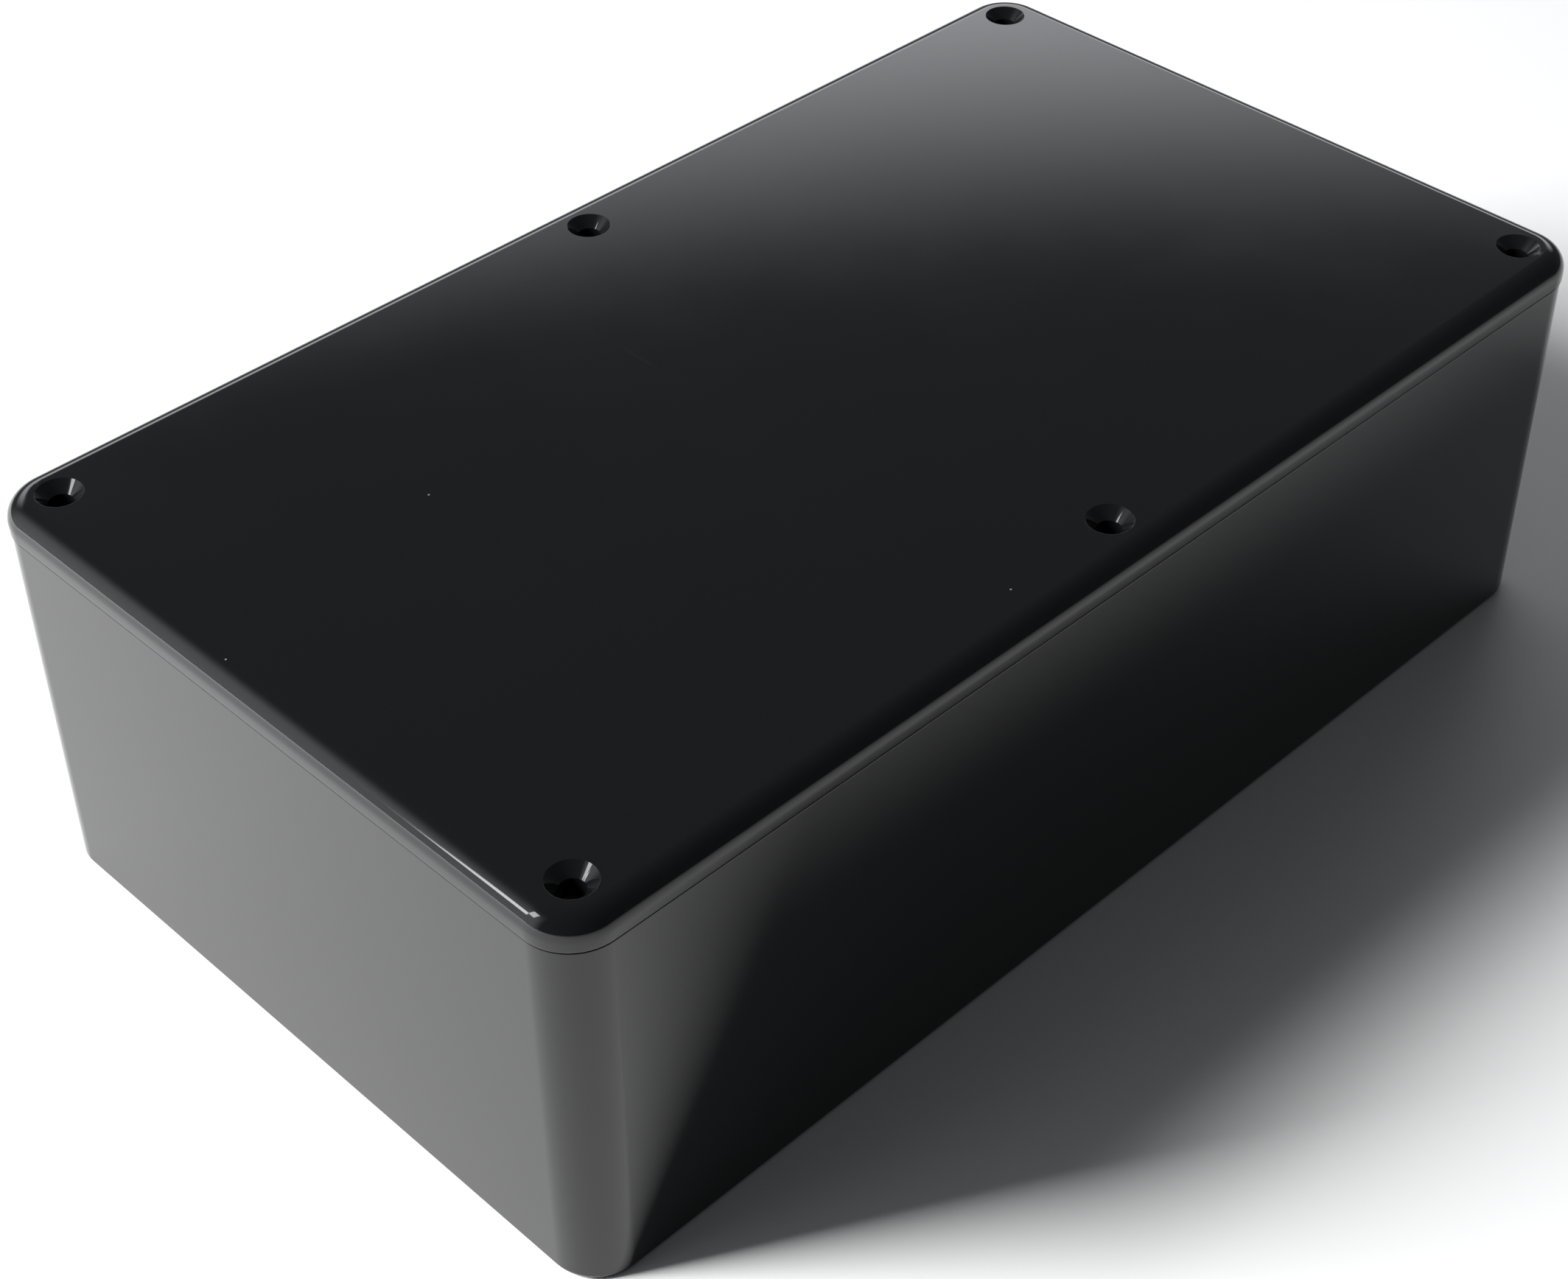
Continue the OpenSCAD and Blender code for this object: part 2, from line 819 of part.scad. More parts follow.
module fuse_clips() {
    base = [3, 6.6, 0.6];
    prong = [3, 0.5, 5];
    prong_y = 3;
    color("gold")
    for (x = fuse_clip_x)
        translate([power_x + x, fuse_y, board_top]) {
            slab(base);
            for (side = [-1, 1])
                translate([0, side * prong_y, 0]) slab(prong);
        }
}

module terminal_block() {
    entry_r = 1.1;
    entry_l = 6;
    screw_r = 1.7;
    screw_depth = 2;
    color("seagreen")
    translate([block_x, 0, board_top]) difference() {
        slab(block_size);
        for (side = [-1, 1]) {
            along_x(0, side * block_pitch / 2, block_z - board_top) cylinder(r = entry_r, h = entry_l);
            translate([-1, side * block_pitch / 2, block_size[2] - screw_depth])
                cylinder(r = screw_r, h = screw_depth + over);
        }
    }
}

module led_header() {
    color("ivory")
    translate([board_x1 - 6, header_y, board_top]) slab([4, 6, header_h]);
}

// ---- Antenna ports, side -1 for the donor antenna and +1 for the server antenna ----

module port_shell(side) {
    neck_l = 5;
    neck_in = 6.5;
    stub_tube_l = 7;
    bore_l = port_face - inner_end + insulator_in;
    color("silver")
    along_x(0, side * port_y, port_z) difference() {
        union() {
            translate([0, 0, inner_end - flange_t]) cylinder(r = flange_r, h = flange_t);
            translate([0, 0, inner_end - flange_t])
                cylinder(r = thread_r, h = port_face - inner_end + flange_t);
            translate([0, 0, inner_end - neck_in]) cylinder(r = neck_r, h = neck_l);
            translate([0, 0, inner_end - stub_l - flange_t]) cylinder(r = stub_r, h = stub_tube_l);
        }
        // Groove that ends the mating thread just outside the nut
        translate([0, 0, relief_x]) ring(thread_r + over, thread_r - relief_in, relief_w);
        translate([0, 0, port_face - socket_depth]) cylinder(r = socket_r, h = socket_depth + over);
        translate([0, 0, inner_end - insulator_in - 0.1]) cylinder(r = insulator_r, h = bore_l);
        translate([0, 0, inner_end - stub_l - flange_t - over])
            cylinder(r = coax_r + clear, h = stub_l + flange_t - insulator_in + over);
    }
}

module port_insulator(side) {
    length = port_face - socket_depth - inner_end + insulator_in;
    color("white")
    along_x(0, side * port_y, port_z)
        translate([0, 0, inner_end - insulator_in]) ring(insulator_r - eps, contact_r + eps, length);
}

// Centre contact, with a bore and two slits in its free end
module port_contact(side) {
    contact_in = 4.5;
    tip_in = 1.5;
    bore_l = 8;
    slit_l = 5;
    color("gold")
    along_x(0, side * port_y, port_z) difference() {
        translate([0, 0, inner_end - contact_in])
            cylinder(r = contact_r, h = port_face - tip_in - inner_end + contact_in);
        translate([0, 0, port_face - bore_l]) cylinder(r = contact_bore_r, h = bore_l);
        for (turn = [0, 90])
            rotate([0, 0, turn])
                translate([0, 0, port_face])
                    cube([2 * contact_r + over, contact_slit, 2 * slit_l], center = true);
    }
}

module port_washer(side) {
    washer_r = 10.2;
    washer_play = 0.15;
    color("silver")
    along_x(seat_x, side * port_y, port_z) ring(washer_r, thread_r + washer_play, washer_t);
}

module port_nut(side) {
    inscribed_r = nut_flats / 2;
    color("silver")
    along_x(seat_x + washer_t, side * port_y, port_z) difference() {
        intersection() {
            cylinder(r = inscribed_r / cos(30), h = nut_t, $fn = 6);
            // Chamfered corners
            cylinder(r1 = inscribed_r + nut_t + hex_chamfer, r2 = inscribed_r + hex_chamfer, h = nut_t);
        }
        translate([0, 0, -over]) cylinder(r = thread_r + eps, h = nut_t + 2 * over);
    }
}

// Coaxial lead: out of the port's stub, one bend, and down into its plug
module antenna_lead(side) {
    in_stub = 2;
    bend_x = lead_x + coax_bend;
    stub_x = inner_end - stub_l - flange_t + in_stub;
    end_z = board_top + plug_lift + plug_grip_z + 0.1;
    color("saddlebrown")
    translate([0, side * port_y, 0]) {
        along_x(bend_x, 0, port_z) cylinder(r = coax_r, h = stub_x - bend_x);
        translate([bend_x, 0, port_z - coax_bend]) rotate([90, 0, 0])
            rotate([0, 0, 90]) rotate_extrude(angle = 90) translate([coax_bend, 0]) circle(coax_r);
        translate([lead_x, 0, end_z]) cylinder(r = coax_r, h = port_z - coax_bend - end_z);
    }
}

// Plug with a round shell, a hexagon and a neck that grips the lead
module lead_plug(side) {
    shell = [3.1, 3.2];
    hexagon = [2.9, 1.6];
    neck_r = 2.1;
    mouth_h = 2;
    color("gold")
    translate([lead_x, side * port_y, board_top + plug_lift]) difference() {
        union() {
            cylinder(r = shell[0], h = shell[1]);
            translate([0, 0, shell[1] - 0.2]) cylinder(r = hexagon[0], h = hexagon[1], $fn = 6);
            translate([0, 0, shell[1] + 1.2]) cylinder(r = neck_r, h = plug_h - shell[1] - 1.2);
        }
        translate([0, 0, -over]) cylinder(r = jack_barrel_r + clear, h = mouth_h + over);
        translate([0, 0, plug_grip_z]) cylinder(r = coax_r + clear, h = plug_h);
    }
}

module board_jacks() {
    barrel_bore_r = 1.5;
    color("gold")
    for (side = [-1, 1])
        translate([lead_x, side * port_y, board_top]) difference() {
            union() {
                slab([jack_base, jack_base, jack_base_h]);
                cylinder(r = jack_barrel_r, h = jack_base_h + jack_barrel_h);
            }
            translate([0, 0, jack_base_h]) cylinder(r = barrel_bore_r, h = jack_barrel_h + over);
        }
}

// ---- Power socket ----

module power_jack_body() {
    color("#202124")
    along_x(0, 0, jack_z) difference() {
        union() {
            translate([0, 0, case_end - jack_depth]) cylinder(r = jack_r, h = jack_depth);
            translate([0, 0, seat_x]) cylinder(r = jack_bezel_r, h = jack_bezel_t);
        }
        translate([0, 0, case_end - jack_bore_l]) cylinder(r = jack_bore_r, h = 2 * jack_bore_l);
        translate([0, 0, pin_x - 0.1]) cylinder(r = jack_root_r + 0.01, h = jack_root_l + over);
    }
}

// Centre pin and the two solder tabs
module power_jack_pin() {
    color("silver") {
        along_x(pin_x, 0, jack_z) {
            cylinder(r = jack_root_r, h = jack_root_l);
            cylinder(r = jack_pin_r, h = jack_pin_l);
        }
        for (side = [-1, 1])
            translate([case_end - jack_depth - tab_size[0] / 2, 0, jack_z + side * tab_dz])
                cube(tab_size, center = true);
    }
}

module power_jack_nut() {
    color("silver")
    along_x(inner_end - jack_nut_t, 0, jack_z) difference() {
        cylinder(r = jack_nut_r, h = jack_nut_t, $fn = 6);
        translate([0, 0, -over]) cylinder(r = jack_r + eps, h = jack_nut_t + 2 * over);
    }
}

// ---- Switch ----

// Frame around a hollow that the rocker turns in
module switch_frame() {
    gap = 0.2;
    hollow_in = 3.6;
    hollow = [10, 2 * (rocker_arc + gap), rocker_w + 2 * gap];
    box = [switch_depth, cut_y - gap, cut_z - gap];
    color("#202124")
    difference() {
        union() {
            translate([seat_x, -frame_y / 2, switch_z - frame_z / 2])
                cube([case_end + frame_t - seat_x, frame_y, frame_z]);
            translate([case_end - switch_depth, -box[1] / 2, switch_z - box[2] / 2]) cube(box);
        }
        translate([pivot_x - hollow_in, -hollow[1] / 2, switch_z - hollow[2] / 2]) cube(hollow);
        translate([pivot_x, 0, switch_z])
            cylinder(r = pivot_r + clear, h = rocker_w + 2 * over, center = true);
    }
}

// Rocker at rest in its off position, tilted about its pivot
module switch_rocker() {
    back = -1.5;
    face = 3.3;
    face_end = 3.65;
    dip = 1.1;
    edge_y = rocker_arc - 0.6;
    wide_y = 10;
    color("#26272b")
    translate([pivot_x, 0, switch_z]) rotate([0, 0, -rocker_tilt]) {
        linear_extrude(rocker_w, center = true) intersection() {
            circle(rocker_arc, $fn = 128);
            polygon([
                [back, -wide_y], [face_end, -wide_y], [face, -edge_y],
                [face - dip, 0], [face, edge_y], [face_end, wide_y], [back, wide_y]
            ]);
        }
        cylinder(r = pivot_r, h = pivot_l, center = true);
    }
}

module switch_terminals() {
    blade = [blade_l, 0.8, 4.8];
    eye_r = 0.8;
    eye_in = 1.8;
    color("silver")
    for (side = [-1, 1])
        translate([case_end - switch_depth - blade_l / 2, side * blade_y, switch_z]) difference() {
            cube(blade, center = true);
            translate([-blade_l / 2 + eye_in, 0, 0]) rotate([90, 0, 0])
                cylinder(r = eye_r, h = blade[1] + 2 * over, center = true);
        }
}

// ---- Status lamps ----

module status_leds() {
    color("palegreen")
    for (y = led_y)
        along_x(0, y, led_z) {
            translate([0, 0, inner_end - led_back]) cylinder(r = led_rim_r, h = 1);
            translate([0, 0, inner_end - led_back]) cylinder(r = led_r, h = led_back + wall_t + led_proud);
            translate([0, 0, case_end + led_proud]) sphere(led_r);
        }
}

// Small board with two pins to each lamp
module led_board() {
    board = [1.2, 26, 7];
    pin_r = 0.25;
    pin_l = 1.2;
    pin_dy = 0.6;
    board_in = 5.7;
    color("#1f5a34")
    translate([inner_end - board_in, 0, led_z]) cube(board, center = true);
    color("silver")
    for (y = led_y, side = [-1, 1])
        along_x(inner_end - board_in + 0.5, y + side * pin_dy, led_z) cylinder(r = pin_r, h = pin_l);
}

module led_ribbon() {
    strand_pitch = 0.9;
    color("dimgray")
    for (i = [-1 : 1])
        wire(ribbon_route, ribbon_r, [0, i * strand_pitch, 0]);
}

// ---- Power wires ----

module positive_lead() {
    color("firebrick") wire(positive_route, wire_r);
}

module switched_lead() {
    color("firebrick") wire(switched_route, wire_r);
}

module negative_lead() {
    color("#222222") wire(negative_route, wire_r);
}

// ---- Nodes ----

box_body();
lid();
lid_inserts();
main_board();
board_screws();
port_shell(-1);  // donor_port_shell
port_insulator(-1);  // donor_port_insulator
port_contact(-1);  // donor_port_contact
port_washer(-1);  // donor_port_washer
port_nut(-1);  // donor_port_nut
port_shell(1);  // server_port_shell
port_insulator(1);  // server_port_insulator
port_contact(1);  // server_port_contact
port_washer(1);  // server_port_washer
port_nut(1);  // server_port_nut
antenna_lead(-1);  // donor_lead
lead_plug(-1);  // donor_lead_plug
antenna_lead(1);  // server_lead
lead_plug(1);  // server_lead_plug
board_jacks();
duplexer(-1);  // donor_duplexer
tuning_screws(-1);  // donor_tuning_screws
duplexer(1);  // server_duplexer
tuning_screws(1);  // server_tuning_screws
shield_frame(-1);  // uplink_shield_frame
shield_cover(-1);  // uplink_shield_cover
shield_frame(1);  // downlink_shield_frame
shield_cover(1);  // downlink_shield_cover
stage_chips(-1);  // uplink_chips
stage_chips(1);  // downlink_chips
power_amplifiers();
thermal_pads();
heat_sink();
heat_sink_screws();
controller_chip();
crystal();
surface_parts();
capacitors();
power_inductor();
regulator();
fuse();
fuse_clips();
terminal_block();
led_header();
power_jack_body();
power_jack_pin();
power_jack_nut();
switch_frame();
switch_rocker();
switch_terminals();
positive_lead();
switched_lead();
negative_lead();
status_leds();
led_board();
led_ribbon();
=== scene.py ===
"""Looks of the cellular signal booster: a glossy black moulded case, photographed on a pale table.

Lengths are in millimetres until they become vertices, which are in metres in the CAD frame:
+X runs to the port end, +Z is up, and the origin is the middle of the case's underside.
"""
import math

import bmesh
import bpy
from mathutils import Matrix, Vector


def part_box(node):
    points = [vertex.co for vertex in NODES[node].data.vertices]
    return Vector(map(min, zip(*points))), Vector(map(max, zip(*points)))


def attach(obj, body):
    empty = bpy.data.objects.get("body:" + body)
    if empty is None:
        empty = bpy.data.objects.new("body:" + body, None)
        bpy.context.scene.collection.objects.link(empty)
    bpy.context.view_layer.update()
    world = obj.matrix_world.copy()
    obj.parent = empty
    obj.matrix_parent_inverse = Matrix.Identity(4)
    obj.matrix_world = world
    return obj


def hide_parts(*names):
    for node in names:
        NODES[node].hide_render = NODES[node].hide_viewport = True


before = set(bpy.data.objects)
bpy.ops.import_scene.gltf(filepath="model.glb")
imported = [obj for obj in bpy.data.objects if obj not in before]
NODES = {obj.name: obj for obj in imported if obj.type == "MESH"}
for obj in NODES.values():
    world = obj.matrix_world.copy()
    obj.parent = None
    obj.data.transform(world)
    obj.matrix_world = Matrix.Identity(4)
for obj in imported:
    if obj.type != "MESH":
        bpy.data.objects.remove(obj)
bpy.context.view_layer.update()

MM = 0.001


def limits(node):
    """Lowest and highest corner of a CAD node, in millimetres."""
    low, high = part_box(node)
    return low / MM, high / MM


# ---- Sizes ----
# The limits come from the CAD frame. The frame doesn't hold the rest, so they are given here.

LID_LOW, LID_HIGH = limits("lid")
HALF_L, HALF_W = LID_HIGH.x, LID_HIGH.y
TOP = LID_HIGH.z
RIM = limits("box_body")[1].z
CORNER_R = 7.0
WALL, FLOOR = 2.5, 2.5
LIP, DRAFT = 0.2, 0.2               # the lid's overhang, and how far each side of the tray slopes in
SEAT = LIP + DRAFT                  # how far the port end's flat seats lie inside the outline
INNER_DRAFT, INNER_ROUND = 0.3, 0.6
LID_ROUND, BASE_ROUND = 3.0, 0.9
EDGE = 0.15                         # chamfer on the rim and on the lid's lower edge
PLATE_UNDER = TOP - 2.8
TONGUE_LOW = LID_LOW.z
TONGUE_OUT, TONGUE_IN = WALL + 0.2, WALL + 1.6
SEAM_H, SEAM_IN = 0.3, 0.6          # the shadow gap's height, and its depth from the outline
SCREW_X, SCREW_Y = HALF_L - 7.0, HALF_W - 6.75
SINK_R, HOLE_R = 3.07, 1.6
BOSS_R, BOSS_CLEAR = 4.2, 0.6
BOSSES = [(x, y) for x in (-SCREW_X, 0, SCREW_X) for y in (-SCREW_Y, SCREW_Y)]
BORE_R, BORE_DEPTH = 1.3, 14
INSERT_R, INSERT_DEPTH = 2.36, 6
MOUTH_R, MOUTH_H = 2.7, 0.2
POST_R, PILOT_R = 3.5, 1.25
ROOT = 1.2                          # height inside the floor at which bosses, webs and posts start
WELD = 0.8                          # how far a web runs into the wall
PAST = 1                            # how far a cutter runs past the face that it cuts
GUIDE_PLACES, GUIDE_PITCH, GUIDE_APART = (-3, -2, -1, 1, 2, 3), 22, 3.4
GUIDE_T, GUIDE_DEPTH, GUIDE_WELD, GUIDE_DROP = 1.2, 2.0, 0.4, 6.8
PORT_SEAT_R = 10.8
JACK_HOLE_R, JACK_SEAT_R = 5.6, 7.9
LAMP_HOLE_R = 1.6


# ---- Mesh tools ----

def add_object(name, verts, faces):
    """New object from vertices in millimetres."""
    mesh = bpy.data.meshes.new(name)
    mesh.from_pydata([Vector(v) * MM for v in verts], [], faces)
    mesh.validate()
    made = bpy.data.objects.new(name, mesh)
    bpy.context.scene.collection.objects.link(made)
    return made


def rounded_loop(half_x, half_y, radius, z, steps=14):
    """Points round a rectangle with round corners, anticlockwise from above."""
    radius = max(radius, 0.05)
    corners = [(1, 1, 0), (-1, 1, 90), (-1, -1, 180), (1, -1, 270)]
    points = []
    for sx, sy, start in corners:
        for i in range(steps + 1):
            a = math.radians(start + 90 * i / steps)
            points.append((sx * (half_x - radius) + radius * math.cos(a),
                           sy * (half_y - radius) + radius * math.sin(a), z))
    return points


def arc(cx, cz, radius, start, end, steps):
    """Points of an arc in a profile, from one angle to another, in degrees."""
    return [(cx + radius * math.cos(math.radians(start + (end - start) * i / steps)),
             cz + radius * math.sin(math.radians(start + (end - start) * i / steps)))
            for i in range(steps + 1)]


def loft(name, loops):
    """Closed skin over loops of equal length, with a flat face on each end."""
    count = len(loops[0])
    verts = [p for loop in loops for p in loop]
    faces = [(i * count + k, i * count + (k + 1) % count,
              (i + 1) * count + (k + 1) % count, (i + 1) * count + k)
             for i in range(len(loops) - 1) for k in range(count)]
    faces.append(tuple(reversed(range(count))))
    faces.append(tuple(range((len(loops) - 1) * count, len(loops) * count)))
    return add_object(name, verts, faces)


def outline_loft(name, profile):
    """Skin that follows the case's outline. A profile point is (inset from the outline, height)."""
    return loft(name, [rounded_loop(HALF_L - inset, HALF_W - inset, CORNER_R - inset, z)
                       for inset, z in profile])


def place(piece, centre, axis="Z"):
    """Turns a piece drawn along +Z to its own axis and moves it to its centre."""
    turn = Matrix.Rotation(math.pi / 2, 4, "Y") if axis == "X" else Matrix.Identity(4)
    piece.data.transform(Matrix.Translation(Vector(centre) * MM) @ turn)
    return piece


def lathe(name, profile, centre=(0, 0, 0), axis="Z", steps=64, shape=None):
    """Solid of revolution. A profile point is (radius, height along the axis), outside going up.
    shape(radius, angle, height) may change a point's radius."""
    loops = []
    for radius, h in profile:
        loop = []
        for k in range(steps):
            a = 2 * math.pi * k / steps
            r = shape(radius, a, h) if shape else radius
            loop.append((r * math.cos(a), r * math.sin(a), h))
        loops.append(loop)
    return place(loft(name, loops), centre, axis)


def tube(name, profile, centre=(0, 0, 0), axis="Z", steps=64, shape=None):
    """Hollow solid of revolution, whose profile is a closed line."""
    made = lathe(name, profile + profile[:1], centre, axis, steps, shape)
    bm = bmesh.new()
    bm.from_mesh(made.data)
    bmesh.ops.delete(bm, geom=[f for f in bm.faces if len(f.verts) == steps], context="FACES_ONLY")
    bmesh.ops.remove_doubles(bm, verts=bm.verts, dist=1e-7)
    bm.to_mesh(made.data)
    bm.free()
    return made


def ring_profile(r_in, r_out, low, high, edge=0.1):
    """Closed profile of a ring with small chamfers."""
    return [(r_out - edge, low), (r_out, low + edge), (r_out, high - edge), (r_out - edge, high),
            (r_in + edge, high), (r_in, high - edge), (r_in, low + edge), (r_in + edge, low)]


def rounded_block(name, low, high, radius, edge, axis="Z"):
    """Block with round corners seen along its axis, and rounded edges at both ends."""
    low, high = Vector(low), Vector(high)
    size, mid = high - low, (low + high) / 2
    if axis == "X":
        size = Vector((size.z, size.y, size.x))
    ends = arc(0, 0, edge, 270, 360, 4)
    section = [(edge - x, edge + z) for x, z in ends]
    section += [(edge - x, size.z - edge - z) for x, z in reversed(ends)]
    loops = [rounded_loop(size.x / 2 - inset, size.y / 2 - inset, radius - inset, z - size.z / 2, 6)
             for inset, z in section]
    return place(loft(name, loops), mid, axis)


def join(name, parts):
    """One piece made of several."""
    bm = bmesh.new()
    for part in parts:
        bm.from_mesh(part.data)
    mesh = bpy.data.meshes.new(name)
    bm.to_mesh(mesh)
    bm.free()
    for part in parts:
        bpy.data.objects.remove(part)
    made = bpy.data.objects.new(name, mesh)
    bpy.context.scene.collection.objects.link(made)
    return made


def block(name, low, high):
    """Plain box, used as a cutter or as the start of a piece."""
    xs, ys, zs = [sorted(pair) for pair in zip(low, high)]
    verts = [(x, y, z) for x in xs for y in ys for z in zs]
    faces = [(0, 1, 3, 2), (4, 6, 7, 5), (0, 4, 5, 1), (2, 3, 7, 6), (0, 2, 6, 4), (1, 5, 7, 3)]
    return add_object(name, verts, faces)


def apply_modifiers(piece):
    """Replaces a piece's mesh with what its modifiers make of it."""
    graph = bpy.context.evaluated_depsgraph_get()
    done = bpy.data.meshes.new_from_object(piece.evaluated_get(graph))
    old = piece.data
    piece.modifiers.clear()
    piece.data = done
    bpy.data.meshes.remove(old)


def combine(piece, tools, operation):
    """Cuts tools out of a piece, or joins them to it, and removes them."""
    for tool in tools:
        modifier = piece.modifiers.new("combine", "BOOLEAN")
        modifier.operation = operation
        modifier.solver = "EXACT"
        modifier.object = tool
    apply_modifiers(piece)
    for tool in tools:
        bpy.data.objects.remove(tool)
    return piece


def soften(piece, width=0.2, segments=2, angle=30):
    """Rounds the sharp edges of a piece."""
    modifier = piece.modifiers.new("soften", "BEVEL")
    modifier.width = width * MM
    modifier.segments = segments
    modifier.limit_method = "ANGLE"
    modifier.angle_limit = math.radians(angle)
    modifier.use_clamp_overlap = True
    apply_modifiers(piece)
    return piece


def smooth(piece, angle=32):
    """Smooth shading in which the large flat faces keep their own direction."""
    bm = bmesh.new()
    bm.from_mesh(piece.data)
    bmesh.ops.remove_doubles(bm, verts=bm.verts, dist=1e-7)
    bmesh.ops.recalc_face_normals(bm, faces=bm.faces)
    for face in bm.faces:
        face.smooth = True
    for edge in bm.edges:
        edge.smooth = len(edge.link_faces) == 2 and edge.calc_face_angle(0) < math.radians(angle)
    bm.to_mesh(piece.data)
    bm.free()
    weighted = piece.modifiers.new("even shading", "WEIGHTED_NORMAL")
    weighted.keep_sharp = True
    weighted.weight = 100
    return piece


def finish_piece(piece, body, slot, material, *replaced):
    """Smooths a piece, gives it its material, ties it to its body and hides the CAD nodes that it
    replaces; the slot is not used.
    """
    smooth(piece)
    piece.data.materials.clear()
    piece.data.materials.append(material)
    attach(piece, body)
    if replaced:
        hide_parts(*replaced)
    return piece


def islands(node):
    """Lowest and highest corner of each separate solid in a CAD node, in millimetres."""
    bm = bmesh.new()
    bm.from_mesh(NODES[node].data)
    bmesh.ops.remove_doubles(bm, verts=bm.verts, dist=1e-6)
    found, seen = [], set()
    for start in bm.verts:
        if start in seen:
            continue
        seen.add(start)
        group, queue = [start], [start]
        while queue:
            for edge in queue.pop().link_edges:
                for vert in edge.verts:
                    if vert not in seen:
                        seen.add(vert)
                        group.append(vert)
                        queue.append(vert)
        cos = [v.co / MM for v in group]
        found.append((Vector([min(c[i] for c in cos) for i in range(3)]),
                      Vector([max(c[i] for c in cos) for i in range(3)])))
    bm.free()
    return found


def refined(node, width=0.1, segments=2, rounds=0):
    """Copy of a CAD node with clean flat faces and softened edges, or rounded by subdivision."""
    bm = bmesh.new()
    bm.from_mesh(NODES[node].data)
    bmesh.ops.remove_doubles(bm, verts=bm.verts, dist=1e-6)
    if not rounds:
        bmesh.ops.dissolve_limit(bm, angle_limit=math.radians(0.5), verts=bm.verts, edges=bm.edges)
    mesh = bpy.data.meshes.new(node)
    bm.to_mesh(mesh)
    bm.free()
    made = bpy.data.objects.new(node + "_piece", mesh)
    bpy.context.scene.collection.objects.link(made)
    if rounds:
        modifier = made.modifiers.new("rounds", "SUBSURF")
        modifier.levels = modifier.render_levels = rounds
        apply_modifiers(made)
    elif width:
        soften(made, width, segments)
    return made


# ---- Materials ----

def shader(tree, kind, inputs=None, **settings):
    """Adds a shader node. An input is a value or the output of another node."""
    made = tree.nodes.new("ShaderNode" + kind)
    for key, value in settings.items():
        setattr(made, key, value)
    for key, value in (inputs or {}).items():
        socket = made.inputs[key]
        if isinstance(value, bpy.types.NodeSocket):
            tree.links.new(value, socket)
        else:
            socket.default_value = value
    return made


def new_material(name, color, roughness, metallic=0.0, **extra):
    """Principled material, returned with its tree, its main shader and its object coordinates."""
    material = bpy.data.materials.new(name)
    material.use_nodes = True
    material.diffuse_color = (*color, 1)
    tree = material.node_tree
    main = tree.nodes["Principled BSDF"]
    main.inputs["Base Color"].default_value = (*color, 1)
    main.inputs["Roughness"].default_value = roughness
    main.inputs["Metallic"].default_value = metallic
    for key, value in extra.items():
        main.inputs[key.replace("_", " ")].default_value = value
    where = tree.nodes.new("ShaderNodeTexCoord").outputs["Object"]
    return material, tree, main, where


def noise(tree, where, scale, detail=3, roughness=0.5, stretch=None):
    """Noise of a given scale per metre, stretched along an axis if asked."""
    if stretch:
        where = shader(tree, "Mapping", {"Vector": where, "Scale": stretch}).outputs["Vector"]
    return shader(tree, "TexNoise", {"Vector": where, "Scale": scale, "Detail": detail,
                                     "Roughness": roughness}).outputs["Fac"]


def ramp(tree, value, low, high, out_low, out_high):
    """Maps a value from one range to another and holds it there."""
    return shader(tree, "MapRange", {"Value": value, "From Min": low, "From Max": high,
                                     "To Min": out_low, "To Max": out_high}).outputs["Result"]


def maths(tree, operation, *values):
    """Result of a sum on numbers or on the outputs of other nodes."""
    return shader(tree, "Math", dict(enumerate(values)), operation=operation).outputs["Value"]


def mix_color(tree, factor, first, second):
    """Mixes two colours."""
    made = shader(tree, "Mix", data_type="RGBA")
    factor_in = next(s for s in made.inputs if s.type == "VALUE")
    colors = [s for s in made.inputs if s.type == "RGBA"]
    tree.links.new(factor, factor_in)
    for socket, value in zip(colors, (first, second)):
        if isinstance(value, bpy.types.NodeSocket):
            tree.links.new(value, socket)
        else:
            socket.default_value = (*value, 1)
    return next(s for s in made.outputs if s.type == "RGBA")


def facing(tree):
    """Direction a surface faces in the object's own space, as X, Y and Z outputs."""
    normal = tree.nodes.new("ShaderNodeTexCoord").outputs["Normal"]
    return shader(tree, "SeparateXYZ", {"Vector": normal}).outputs


def bump(tree, height, strength, distance, below=None):
    """Bump from a height in the range 0 to 1. The distance that it stands for is in millimetres."""
    inputs = {"Height": height, "Strength": strength, "Distance": distance * MM}
    if below is not None:
        inputs["Normal"] = below
    return shader(tree, "Bump", inputs).outputs["Normal"]


